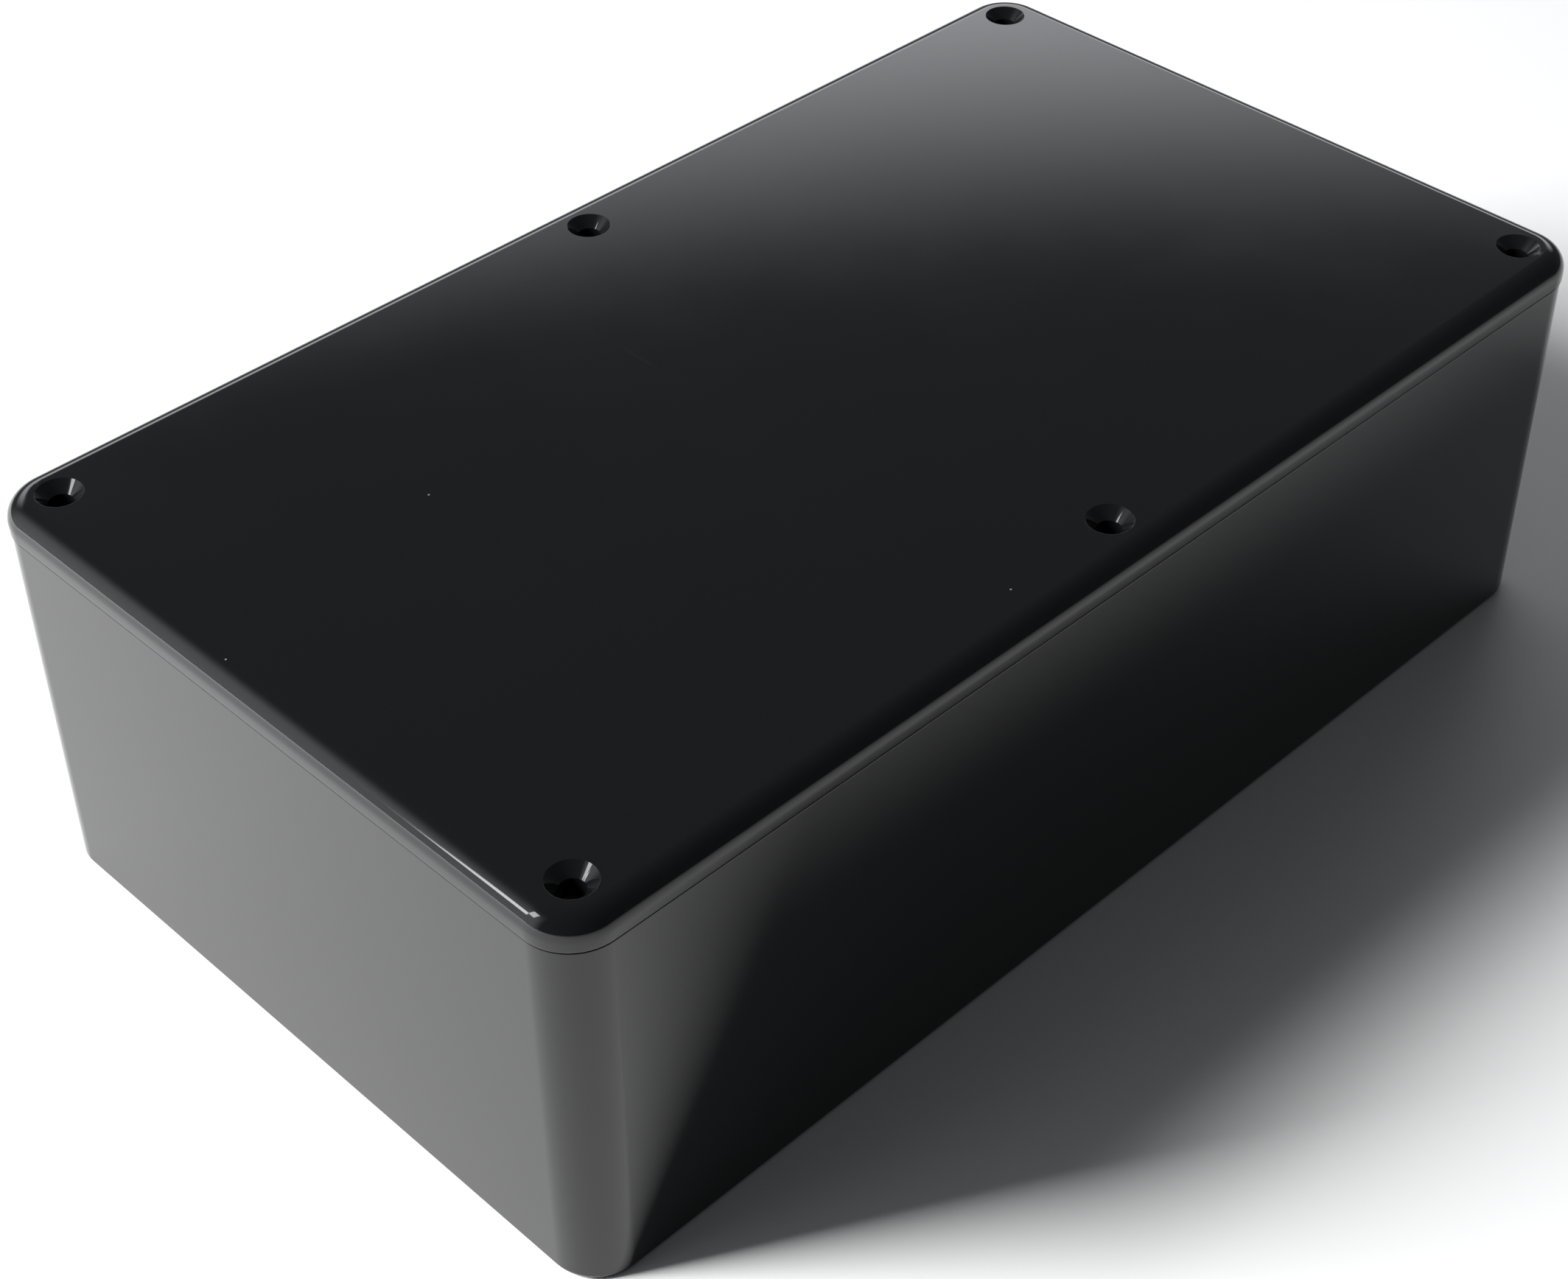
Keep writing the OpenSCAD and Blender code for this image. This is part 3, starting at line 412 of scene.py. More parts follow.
def case_plastic():
    """Glossy black moulded ABS with faint flow ripples, hairline scratches and a little dust."""
    black, dusty = (0.0040, 0.0042, 0.0050), (0.18, 0.18, 0.17)
    material, tree, main, where = new_material("case_plastic", black, 0.07)
    main.inputs["IOR"].default_value = 1.52
    ripple = noise(tree, where, 22, detail=1, stretch=(1, 1, 0.12))
    orange = noise(tree, where, 420, detail=2)
    hair = ramp(tree, noise(tree, where, 900, detail=2, stretch=(1, 0.02, 1)), 0.71, 0.76, 0, 1)
    grime = noise(tree, where, 14, detail=5, roughness=0.65)
    specks = shader(tree, "TexVoronoi", {"Vector": where, "Scale": 190, "Randomness": 1})
    chosen = shader(tree, "TexWhiteNoise", {"Vector": specks.outputs["Position"]})
    is_near = ramp(tree, specks.outputs["Distance"], 0.018, 0.03, 1, 0)
    is_dust = ramp(tree, chosen.outputs["Value"], 0.975, 0.976, 0, 1)
    dust = maths(tree, "MULTIPLY", is_near, is_dust)
    worn = maths(tree, "ADD", ramp(tree, grime, 0.35, 0.75, 0.055, 0.10), ramp(tree, hair, 0, 1, 0, 0.03))
    rough = maths(tree, "ADD", worn, ramp(tree, dust, 0, 1, 0, 0.5))
    tree.links.new(rough, main.inputs["Roughness"])
    tree.links.new(mix_color(tree, dust, black, dusty), main.inputs["Base Color"])
    wavy = bump(tree, ripple, 0.35, 0.02)
    tree.links.new(bump(tree, orange, 0.08, 0.004, wavy), main.inputs["Normal"])
    return material


def metal(name, color, roughness, grain, stretch=None, depth=0.004):
    """Metal with a grain that may run one way, and patches of uneven sheen."""
    material, tree, main, where = new_material(name, color, roughness, 1.0)
    patches = noise(tree, where, 130, detail=4)
    low, high = roughness * 0.75, roughness * 1.35
    tree.links.new(ramp(tree, patches, 0.3, 0.7, low, high), main.inputs["Roughness"])
    tint = [c * 0.86 for c in color]
    tree.links.new(mix_color(tree, patches, color, tint), main.inputs["Base Color"])
    marks = noise(tree, where, grain, detail=3, stretch=stretch)
    tree.links.new(bump(tree, marks, 0.5, depth), main.inputs["Normal"])
    return material


def plastic(name, color, roughness, grain=1800, depth=0.006, **extra):
    """Moulded plastic with a fine texture and slightly uneven gloss and colour."""
    material, tree, main, where = new_material(name, color, roughness, **extra)
    patches = noise(tree, where, 90, detail=4)
    low, high = roughness * 0.85, roughness * 1.2
    tree.links.new(ramp(tree, patches, 0.3, 0.7, low, high), main.inputs["Roughness"])
    tint = [c * 0.8 for c in color]
    tree.links.new(mix_color(tree, patches, color, tint), main.inputs["Base Color"])
    texture = noise(tree, where, grain, detail=2)
    tree.links.new(bump(tree, texture, 0.4, depth), main.inputs["Normal"])
    return material


def insert_brass():
    """Brass with a fine diamond knurl."""
    material, tree, main, where = new_material("insert_brass", (0.78, 0.53, 0.22), 0.24, 1.0)
    knurl = []
    for turn in (0.8, -0.8):
        turned = shader(tree, "Mapping", {"Vector": where, "Rotation": (0, turn, turn)}).outputs["Vector"]
        knurl.append(shader(tree, "TexWave", {"Vector": turned, "Scale": 420}).outputs["Fac"])
    cross = maths(tree, "MULTIPLY", *knurl)
    tree.links.new(bump(tree, cross, 0.5, 0.03), main.inputs["Normal"])
    tarnish = noise(tree, where, 200, detail=4)
    tree.links.new(ramp(tree, tarnish, 0.3, 0.7, 0.18, 0.36), main.inputs["Roughness"])
    return material


def board_laminate():
    """Green solder mask over copper traces, with the bare laminate on the cut edges."""
    mask, copper, edge = (0.004, 0.060, 0.022), (0.010, 0.125, 0.045), (0.30, 0.27, 0.12)
    material, tree, main, where = new_material("board_laminate", mask, 0.25)
    main.inputs["Coat Weight"].default_value = 0.4
    main.inputs["Coat Roughness"].default_value = 0.12
    cells = shader(tree, "TexVoronoi", {"Vector": where, "Scale": 85, "Randomness": 0.85},
                   distance="MANHATTAN")
    bands = maths(tree, "MULTIPLY", cells.outputs["Distance"], 38.0)
    lines = ramp(tree, maths(tree, "SINE", bands), 0.1, 0.35, 0, 1)
    areas = ramp(tree, noise(tree, where, 45, detail=1), 0.46, 0.5, 0, 1)
    traces = maths(tree, "MULTIPLY", lines, areas)
    flat = ramp(tree, maths(tree, "ABSOLUTE", facing(tree)["Z"]), 0.3, 0.6, 0, 1)
    green = mix_color(tree, traces, mask, copper)
    tree.links.new(mix_color(tree, flat, edge, green), main.inputs["Base Color"])
    weave = noise(tree, where, 900, detail=2)
    tree.links.new(bump(tree, weave, 0.15, 0.01, bump(tree, traces, 0.6, 0.035)), main.inputs["Normal"])
    return material


def shield_tin():
    """Bright tin with the faint crystal pattern of a plated sheet and a slight waviness."""
    light, dull = (0.74, 0.75, 0.76), (0.62, 0.63, 0.65)
    material, tree, main, where = new_material("shield_tin", (0.72, 0.73, 0.74), 0.25, 1.0)
    crystals = shader(tree, "TexVoronoi", {"Vector": where, "Scale": 420}).outputs["Color"]
    shade = shader(tree, "SeparateXYZ", {"Vector": crystals}).outputs["X"]
    tree.links.new(ramp(tree, shade, 0, 1, 0.20, 0.36), main.inputs["Roughness"])
    tree.links.new(mix_color(tree, shade, light, dull), main.inputs["Base Color"])
    dents = noise(tree, where, 70, detail=2)
    tree.links.new(bump(tree, dents, 0.5, 0.05), main.inputs["Normal"])
    return material


def capacitor_sleeve():
    """Dark blue sleeve with a pale stripe, and the bare aluminium of the can on top."""
    sleeve, stripe, bare = (0.008, 0.022, 0.10), (0.42, 0.46, 0.52), (0.80, 0.81, 0.82)
    material, tree, main, where = new_material("capacitor_sleeve", sleeve, 0.28)
    top = ramp(tree, facing(tree)["Z"], 0.93, 0.96, 0, 1)
    side = ramp(tree, facing(tree)["Y"], 0.78, 0.80, 0, 1)
    body = mix_color(tree, side, sleeve, stripe)
    tree.links.new(mix_color(tree, top, body, bare), main.inputs["Base Color"])
    tree.links.new(top, main.inputs["Metallic"])
    tree.links.new(bump(tree, noise(tree, where, 700, detail=3), 0.3, 0.01), main.inputs["Normal"])
    return material


def ferrite():
    """Grey ferrite, with copper wire wound round the drum between its flanges."""
    dark, copper = (0.028, 0.028, 0.031), (0.55, 0.22, 0.09)
    flange_low, flange_high, wire_pitch, blur = 2.0, 1.4, 0.35, 0.02
    material, tree, main, where = new_material("ferrite", dark, 0.6)
    low, high = limits("power_inductor")
    height = shader(tree, "SeparateXYZ", {"Vector": where}).outputs["Z"]
    above = ramp(tree, height, (low.z + flange_low) * MM, (low.z + flange_low + blur) * MM, 0, 1)
    below = ramp(tree, height, (high.z - flange_high - blur) * MM, (high.z - flange_high) * MM, 1, 0)
    wound = maths(tree, "MULTIPLY", above, below)
    tree.links.new(mix_color(tree, wound, dark, copper), main.inputs["Base Color"])
    tree.links.new(ramp(tree, wound, 0, 1, 0.62, 0.25), main.inputs["Roughness"])
    tree.links.new(ramp(tree, wound, 0, 1, 0, 0.8), main.inputs["Metallic"])
    turns = maths(tree, "MULTIPLY", height, 2 * math.pi / (wire_pitch * MM))
    wire_bump = maths(tree, "MULTIPLY", maths(tree, "SINE", turns), wound)
    grain = bump(tree, noise(tree, where, 2600, detail=2), 0.35, 0.01)
    tree.links.new(bump(tree, wire_bump, 0.7, 0.06, grain), main.inputs["Normal"])
    return material


def clear_material(name, color, roughness, grain):
    """Clear glass or resin with a slightly uneven surface."""
    material, tree, main, where = new_material(name, color, roughness, Transmission_Weight=1.0)
    main.inputs["IOR"].default_value = 1.5
    tree.links.new(bump(tree, noise(tree, where, grain, detail=2), 0.2, 0.01), main.inputs["Normal"])
    return material


def lamp_lens():
    """Milky green resin that scatters the light a little."""
    deep, milky = (0.30, 0.74, 0.38), (0.46, 0.86, 0.50)
    material, tree, main, where = new_material("lamp_lens", (0.35, 0.80, 0.42), 0.12,
                                               Transmission_Weight=0.65)
    main.inputs["Subsurface Weight"].default_value = 0.3
    main.inputs["Subsurface Radius"].default_value = (0.001, 0.002, 0.001)
    haze = noise(tree, where, 500, detail=3)
    tree.links.new(mix_color(tree, haze, deep, milky), main.inputs["Base Color"])
    tree.links.new(ramp(tree, haze, 0.3, 0.7, 0.08, 0.16), main.inputs["Roughness"])
    return material


TURNED = (1, 0.04, 0.04)            # grain of a part turned round X
MATERIALS = {
    "case_plastic": case_plastic(),
    "insert_brass": insert_brass(),
    "board_laminate": board_laminate(),
    "screw_steel": metal("screw_steel", (0.56, 0.56, 0.55), 0.30, 900),
    "port_nickel": metal("port_nickel", (0.70, 0.68, 0.64), 0.20, 1500, TURNED),
    "contact_gold": metal("contact_gold", (0.93, 0.66, 0.28), 0.20, 1400),
    "port_insulator": plastic("port_insulator", (0.80, 0.80, 0.76), 0.42, Subsurface_Weight=0.1),
    "coax_jacket": plastic("coax_jacket", (0.23, 0.10, 0.045), 0.32, 900),
    "silver_plate": metal("silver_plate", (0.84, 0.82, 0.78), 0.28, 700, (0.05, 1, 1), 0.01),
    "shield_tin": shield_tin(),
    "chip_epoxy": plastic("chip_epoxy", (0.014, 0.014, 0.015), 0.55, 2600, 0.012),
    "pad_silicone": plastic("pad_silicone", (0.30, 0.38, 0.47), 0.75, 1200, 0.015),
    "sink_black": metal("sink_black", (0.022, 0.022, 0.025), 0.42, 1100, (1, 0.03, 1), 0.01),
    "capacitor_sleeve": capacitor_sleeve(),
    "ferrite": ferrite(),
    "chip_ceramic": plastic("chip_ceramic", (0.36, 0.25, 0.15), 0.45, 2400),
    "fuse_glass": clear_material("fuse_glass", (0.97, 0.99, 0.98), 0.02, 300),
    "terminal_plastic": plastic("terminal_plastic", (0.02, 0.24, 0.09), 0.38),
    "header_plastic": plastic("header_plastic", (0.72, 0.68, 0.55), 0.42),
    "socket_plastic": plastic("socket_plastic", (0.011, 0.011, 0.012), 0.34, 2000, 0.010),
    "wire_red": plastic("wire_red", (0.42, 0.014, 0.012), 0.34, 900),
    "wire_black": plastic("wire_black", (0.012, 0.012, 0.013), 0.34, 900),
    "ribbon_grey": plastic("ribbon_grey", (0.27, 0.27, 0.28), 0.42, 900),
    "lamp_lens": lamp_lens(),
}
SLOTS = {name: node.data.materials[0].name.split(".")[0] for name, node in NODES.items()}


# ---- Case ----

def grown(posts, board_low):
    """What stands up inside the tray: bosses with their webs, card guides and board posts."""
    web = BOSS_R / 2
    boss = [(BOSS_R, ROOT), (BOSS_R, RIM - EDGE), (BOSS_R - EDGE, RIM)]
    made = []
    for x, y in BOSSES:
        made.append(lathe("boss", boss, (x, y, 0)))
        out_y = math.copysign(HALF_W - WALL + WELD, y)
        made.append(block("web", (x - web, y, ROOT), (x + web, out_y, RIM - EDGE)))
        if x:
            out_x = math.copysign(HALF_L - WALL + WELD, x)
            made.append(block("web", (x, y - web, ROOT), (out_x, y + web, RIM - EDGE)))
    for i in GUIDE_PLACES:
        for side in (-1, 1):
            for offset in (-GUIDE_APART / 2, GUIDE_APART / 2):
                x, inner = i * GUIDE_PITCH + offset, side * (HALF_W - WALL - GUIDE_DEPTH)
                outer = inner + side * (GUIDE_DEPTH + GUIDE_WELD)
                made.append(block("guide", (x - GUIDE_T / 2, inner, ROOT),
                                  (x + GUIDE_T / 2, outer, RIM - GUIDE_DROP)))
    post = [(POST_R, ROOT), (POST_R, board_low - 0.1), (POST_R - 0.1, board_low)]
    return made + [lathe("post", post, (x, y, 0)) for x, y in posts]


def tray():
    """The deep tray: skin, shadow step, bosses, posts, card guides, and the openings of the port end."""
    step_z = RIM - SEAM_H
    profile = arc(SEAT + BASE_ROUND, BASE_ROUND, BASE_ROUND, 270, 180, 8)
    profile += [(LIP, step_z - EDGE), (LIP + EDGE * 0.3, step_z - EDGE * 0.3), (LIP + EDGE, step_z)]
    profile += [(SEAM_IN, step_z), (SEAM_IN, RIM - EDGE), (SEAM_IN + EDGE, RIM)]
    profile += [(WALL - EDGE, RIM), (WALL, RIM - EDGE)]
    foot = WALL + INNER_DRAFT
    profile += [(foot, FLOOR + INNER_ROUND), (foot + INNER_ROUND, FLOOR)]
    made = outline_loft("tray", profile)
    posts = [((low.x + high.x) / 2, (low.y + high.y) / 2) for low, high in islands("board_screws")]
    board_low = limits("main_board")[0].z
    combine(made, grown(posts, board_low), "UNION")
    bore = [(BORE_R, RIM - BORE_DEPTH), (BORE_R, RIM - INSERT_DEPTH), (INSERT_R, RIM - INSERT_DEPTH),
            (INSERT_R, RIM - MOUTH_H), (MOUTH_R, RIM + MOUTH_H), (MOUTH_R, RIM + PAST)]
    pilot = [(PILOT_R, FLOOR), (PILOT_R, board_low + PAST)]
    cuts = [lathe("bore", bore, (x, y, 0), steps=40) for x, y in BOSSES]
    cuts += [lathe("pilot", pilot, (x, y, 0), steps=32) for x, y in posts]
    return combine(made, cuts + port_end_cuts(), "DIFFERENCE")


def end_hole(centre, hole_r, seat_r):
    """Cutters for a round hole through the end wall and for the flat seat on each face."""
    y, z = centre
    spans = [(hole_r, -WALL - PAST, PAST), (seat_r, -SEAT, PAST), (seat_r, -WALL - 2 * PAST, -WALL)]
    return [lathe("hole", [(r, HALF_L + start), (r, HALF_L + end)], (0, y, z), "X")
            for r, start, end in spans]


def port_end_cuts():
    """Cutters for the ports, the power socket, the lamps and the switch."""
    cuts = []
    for name in PORTS:
        cuts += end_hole(middle(name + "_port_shell"), THREAD_R + 0.1, PORT_SEAT_R)
    cuts += end_hole(middle("power_jack_body"), JACK_HOLE_R, JACK_SEAT_R)
    lamp = [(LAMP_HOLE_R, HALF_L - WALL - PAST), (LAMP_HOLE_R, HALF_L + PAST)]
    cuts += [lathe("lamp", lamp, (0, y, z), "X") for y, z in LAMPS]
    y, z = middle("switch_frame")
    for half_y, half_z, start in ((*SWITCH_HOLE, -WALL - PAST), (*SWITCH_SEAT, -SEAT)):
        cuts.append(block("window", (HALF_L + start, y - half_y, z - half_z),
                          (HALF_L + PAST, y + half_y, z + half_z)))
    return cuts


def lid():
    """The flat lid with its round top edge, locating rib and six countersunk holes."""
    profile = [(TONGUE_IN, PLATE_UNDER), (TONGUE_IN, TONGUE_LOW), (TONGUE_OUT + EDGE, TONGUE_LOW)]
    profile += [(TONGUE_OUT, TONGUE_LOW + EDGE), (TONGUE_OUT, RIM), (EDGE, RIM)]
    profile += [(EDGE * 0.3, RIM + EDGE * 0.3), (0.0, RIM + EDGE)]
    profile += arc(LID_ROUND, TOP - LID_ROUND, LID_ROUND, 180, 90, 12)
    made = outline_loft("lid_shell", list(reversed(profile)))
    gap, reach = BOSS_R + BOSS_CLEAR, 12
    gaps = []
    for x, y in BOSSES:
        ends = (-gap, gap) if x == 0 else (-gap, reach) if x > 0 else (-reach, gap)
        sides = (-gap, reach) if y > 0 else (-reach, gap)
        gaps.append(block("gap", (x + ends[0], y + sides[0], TONGUE_LOW - PAST),
                          (x + ends[1], y + sides[1], RIM)))
    combine(made, gaps, "DIFFERENCE")
    pads = [lathe("pad", [(BOSS_R, RIM), (BOSS_R, PLATE_UNDER + 0.5)], (x, y, 0)) for x, y in BOSSES]
    combine(made, pads, "UNION")
    soft = 0.06
    flare = soft * math.tan(math.radians(22.5))
    cut = [(HOLE_R, TONGUE_LOW - PAST), (HOLE_R, TOP - SINK_R + HOLE_R)]
    cut += arc(SINK_R + flare, TOP - soft, soft, 135, 90, 4) + [(SINK_R + flare, TOP + PAST)]
    holes = [lathe("hole", cut, (x, y, 0), steps=72) for x, y in BOSSES]
    return combine(made, holes, "DIFFERENCE")


# ---- Port end ----

def middle(node):
    """Middle of a CAD node seen along X, as y and z in millimetres."""
    low, high = limits(node)
    return (low.y + high.y) / 2, (low.z + high.z) / 2


PORTS = ("donor", "server")
THREAD_R, THREAD_PITCH, THREAD_DEPTH, THREAD_L = 7.94, 25.4 / 24, 0.62, 8.5
STUB_R, NECK_R, FLANGE_R = 2.6, 5, 10
SOCKET_R, SOCKET_DEPTH, BEAD_R, CORE_R = 4.2, 9, 3.6, 1.35
LAMPS = [((low.y + high.y) / 2, (low.z + high.z) / 2) for low, high in islands("status_leds")]
LAMP_R, LAMP_RIM_R = 1.5, 1.9
SWITCH_HOLE, SWITCH_SEAT, SWITCH_BODY, SWITCH_HOLLOW = (9.4, 6.4), (10.8, 7.8), (9.3, 6.3), (8.4, 5.1)
SWITCH_PIVOT_X, SWITCH_TILT = HALF_L - 1.4, -9
PIVOT_HOLE_R, ROCKER_CLEAR = 1.05, 3.6
WING_DROP, WING_L = 1.1, 7.6        # the rocker's face falls this much over half its length


def port_shell(name):
    """Turned shell of an antenna port: rear stub, flange, cut thread and socket."""
    low, high = limits(name + "_port_shell")
    face, back, seat = high.x, low.x, HALF_L - WALL
    thread_start, edge, chamfer = face - THREAD_L, 0.12, 0.7
    neck, flange = seat - 6.5, seat - 2
    shank_r, groove_r = 7.9, 7.54

    def cut(radius, angle, h):
        """Radius of the outer surface where the thread is cut into it."""
        if h < thread_start or radius < THREAD_R - 0.01:
            return radius
        along = (h / THREAD_PITCH - angle / (2 * math.pi)) % 1
        tooth = min(max(abs(2 * along - 1) * 1.3 - 0.15, 0), 1)
        crest = THREAD_R - max(0, h - (face - chamfer))
        return min(crest, THREAD_R - THREAD_DEPTH * (1 - tooth))

    steps = int((face - thread_start) / (THREAD_PITCH / 9))
    thread = [(THREAD_R, thread_start + (face - thread_start) * i / steps) for i in range(steps + 1)]
    profile = [(STUB_R - edge, back), (STUB_R, back + edge), (STUB_R, neck), (NECK_R - edge, neck)]
    profile += [(NECK_R, neck + edge), (NECK_R, flange), (FLANGE_R - edge, flange)]
    profile += [(FLANGE_R, flange + edge), (FLANGE_R, seat - edge), (FLANGE_R - edge, seat)]
    profile += [(shank_r, seat), (shank_r, thread_start - 1.05)]
    profile += [(groove_r, thread_start - 0.95), (groove_r, thread_start - 0.1)] + thread
    profile += [(SOCKET_R + 0.5, face), (SOCKET_R + 0.15, face - 0.12), (SOCKET_R, face - 0.5)]
    profile += [(SOCKET_R, face - SOCKET_DEPTH), (BEAD_R, face - SOCKET_DEPTH), (BEAD_R, seat - 5.4)]
    profile += [(CORE_R, seat - 5.4), (CORE_R, back)]
    y, z = middle(name + "_port_shell")
    return tube(name + "_port", profile, (0, y, z), "X", 96, cut)


def hex_nut(name, node, bore_r, flats):
    """Hexagonal nut with its corners turned down on both faces."""
    low, high = limits(node)
    y, z = middle(node)
    corner, slope = flats / math.cos(math.radians(30)), math.tan(math.radians(30))
    face_r, lead = flats - 0.2, 0.5
    drop = (corner - flats + 0.2) * slope
    made = lathe(name, [(corner, low.x), (corner, high.x)], (0, y, z), "X", 6)
    turned = [(face_r, low.x), (corner + 0.01, low.x + drop), (corner + 0.01, high.x - drop),
              (face_r, high.x)]
    combine(made, [lathe("turned", turned, (0, y, z), "X", 96)], "INTERSECT")
    bore = [(bore_r + lead + 0.5, low.x - PAST), (bore_r + lead, low.x), (bore_r, low.x + lead),
            (bore_r, high.x - lead), (bore_r + lead, high.x), (bore_r + lead + 0.5, high.x + PAST)]
    combine(made, [lathe("bore", bore, (0, y, z), "X", 96)], "DIFFERENCE")
    return soften(made, 0.12, 2, 25)


def power_jack():
    """Socket with a round bezel, a fine groove in its face and a smooth lead-in to its bore."""
    low, high = limits("power_jack_body")
    y, z = middle("power_jack_body")
    seat, face = HALF_L - SEAT, high.x
    body_r, bezel_r, bore_r, bore_depth = 5.5, 7.2, 2.75, 9
    bezel_round, groove_r, groove_depth = 0.6, (4.6, 4.5, 4.1, 4.0), 0.12
    profile = [(body_r - 0.4, low.x), (body_r, low.x + 0.4), (body_r, seat), (bezel_r - 0.1, seat)]
    profile.append((bezel_r, seat + 0.1))
    profile += arc(bezel_r - bezel_round, face - bezel_round, bezel_round, 0, 90, 6)
    profile += zip(groove_r, (face, face - groove_depth, face - groove_depth, face))
    profile += [(bore_r + 0.5, face), (bore_r + 0.15, face - 0.15), (bore_r, face - 0.5)]
    profile += [(bore_r, HALF_L - bore_depth)]
    return lathe("power_jack", profile, (0, y, z), "X", 80)


def switch_frame():
    """Switch housing behind a rounded frame, hollow where the rocker turns."""
    low, high = limits("switch_frame")
    y, z = middle("switch_frame")
    pin_low, pin_high = [corner.z for corner in limits("switch_rocker")]

    def centred(name, half, start, end, radius, edge):
        """Rounded block of given half sizes about the switch's middle line."""
        half_y, half_z = half
        return rounded_block(name, (start, y - half_y, z - half_z), (end, y + half_y, z + half_z),
                             radius, edge, "X")

    made = rounded_block("switch_housing", (HALF_L - SEAT, low.y, low.z), high, 1.6, 0.5, "X")
    combine(made, [centred("body", SWITCH_BODY, low.x, HALF_L, 0.6, 0.3)], "UNION")
    hollow = centred("hollow", SWITCH_HOLLOW, SWITCH_PIVOT_X - ROCKER_CLEAR, high.x + 4, 0.4, 0.2)
    pin = lathe("pin", [(PIVOT_HOLE_R, pin_low - 0.1), (PIVOT_HOLE_R, pin_high + 0.1)],
                (SWITCH_PIVOT_X, y, 0), steps=40)
    combine(made, [hollow, pin], "DIFFERENCE")
    return soften(made, 0.18, 2, 50)


def rocker_marks():
    """The usual bar and ring on the rocker's two wings, as thin raised inlays."""
    wing = math.atan2(WING_DROP, WING_L)
    ridge, mark_y, sunk, proud, edge = 2.2, 4.6, -0.2, 0.06, 0.03
    y, z = middle("switch_frame")
    parts = []
    for side in (-1, 1):
        if side > 0:
            mark = rounded_block("bar", (-1.6, -0.3, sunk), (1.6, 0.3, proud), 0.2, edge)
        else:
            mark = tube("ring", ring_profile(1.05, 1.55, sunk, proud, edge), steps=48)
        turn = Matrix.Rotation(math.radians(SWITCH_TILT) - side * wing, 4, "Z")
        seat = Vector((ridge * math.cos(wing), 0, 0)) + Vector((0, side * mark_y, 0))
        stand = Matrix.Rotation(math.pi / 2, 4, "Y")
        shift = Matrix.Translation(Vector((SWITCH_PIVOT_X, y, z)) * MM)
        mark.data.transform(shift @ turn @ Matrix.Translation(seat * MM) @ stand)
        parts.append(mark)
    return join("switch_marks", parts)


def status_leds():
    """Three domed lamps with their rims."""
    back = HALF_L - WALL - 4
    profile = [(LAMP_RIM_R - 0.1, back), (LAMP_RIM_R, back + 0.1), (LAMP_RIM_R, back + 0.9)]
    profile += [(LAMP_RIM_R - 0.1, back + 1), (LAMP_R, back + 1)]
    profile += arc(0, HALF_L + 0.6, LAMP_R, 0, 86, 10)
    return join("status_lamps", [lathe("lamp", profile, (0, y, z), "X", 40) for y, z in LAMPS])


# ---- Inside ----

def capacitors():
    """Electrolytic capacitors: crimped sleeve, rolled top edge and a scored vent."""
    crimp, roll, score_t = 0.25, 0.4, 0.2
    parts = []
    for low, high in islands("capacitors"):
        mid, r, foot, top = (low + high) / 2, (high.x - low.x) / 2, low.z, high.z
        profile = [(r - 0.2, foot), (r, foot + 0.2), (r, foot + 1), (r - crimp, foot + 1.2),
                   (r - crimp, foot + 1.7), (r, foot + 2), (r, top - roll)]
        profile += arc(r - roll, top - roll, roll, 0, 90, 5)
        profile += [(r - 0.8, top - 0.02), (r - 0.9, top - 0.22)]
        can = lathe("can", profile, (mid.x, mid.y, 0), steps=56)
        scores = []
        for turn in (0.4, 0.4 + math.pi / 2):
            score = block("score", (-r * 0.6, -score_t / 2, top - 0.35), (r * 0.6, score_t / 2, top))
            shift = Matrix.Translation((mid.x * MM, mid.y * MM, 0))
            score.data.transform(shift @ Matrix.Rotation(turn, 4, "Z"))
            scores.append(score)
        parts.append(combine(can, scores, "DIFFERENCE"))
    return join("capacitor_cans", parts)


def chip_ends():
    """Solder ends of the small chip parts, just proud of their bodies."""
    skin, end_l = 0.03, 0.4
    parts = []
    for low, high in islands("surface_parts"):
        size = high - low
        axis = 0 if size.x > size.y else 1
        for is_far in (False, True):
            start, stop = low - Vector((skin, skin, 0)), high + Vector((skin, skin, skin))
            if is_far:
                start[axis] = high[axis] - end_l
            else:
                stop[axis] = low[axis] + end_l
            parts.append(rounded_block("end", start, stop, 0.1, 0.06))
    return join("chip_ends", parts)


def fuse_parts():
    """Glass tube, two nickel caps and the fine wire between them."""
    glass_in, glass_out, cap_l = 2.1, 2.43, 5.2
    low, high = limits("fuse")
    y, z, r = (low.y + high.y) / 2, (low.z + high.z) / 2, (high.y - low.y) / 2
    wall = ring_profile(glass_in, glass_out, low.x + 0.7, high.x - 0.7, 0.05)
    glass = tube("fuse_tube", wall, (0, y, z), "X", 48)
    caps = []
    for start, way in ((low.x, 1), (high.x, -1)):
        end = start + way * cap_l
        profile = [(r - 0.5, start), (r, start + way * 0.5), (r, end - way * 0.1), (r - 0.1, end),
                   (glass_out + 0.01, end)]
        caps.append(lathe("cap", profile if way > 0 else list(reversed(profile)), (0, y, z), "X", 48))
    wire = lathe("wire", [(0.12, low.x + 1), (0.12, high.x - 1)], (0, y, z), "X", 12)
    return glass, join("fuse_caps", caps + [wire])


def terminal_screws():
    """Slotted screws in the terminal block's two wells."""
    head_r, head_h, slot_t, half_pitch = 1.55, 0.9, 0.44, 2.5
    low, high = limits("terminal_block")
    parts = []
    for side in (-1, 1):
        x, y, z = (low.x + high.x) / 2 - 1, side * half_pitch, high.z - 2
        profile = [(head_r, z), (head_r, z + head_h), (head_r - 0.15, z + head_h + 0.15)]
        head = lathe("head", profile, (x, y, 0), steps=36)
        slot = block("slot", (x - 2, y - slot_t / 2, z + 0.5), (x + 2, y + slot_t / 2, z + 2))
        parts.append(combine(head, [slot], "DIFFERENCE"))
    return join("terminal_screws", parts)


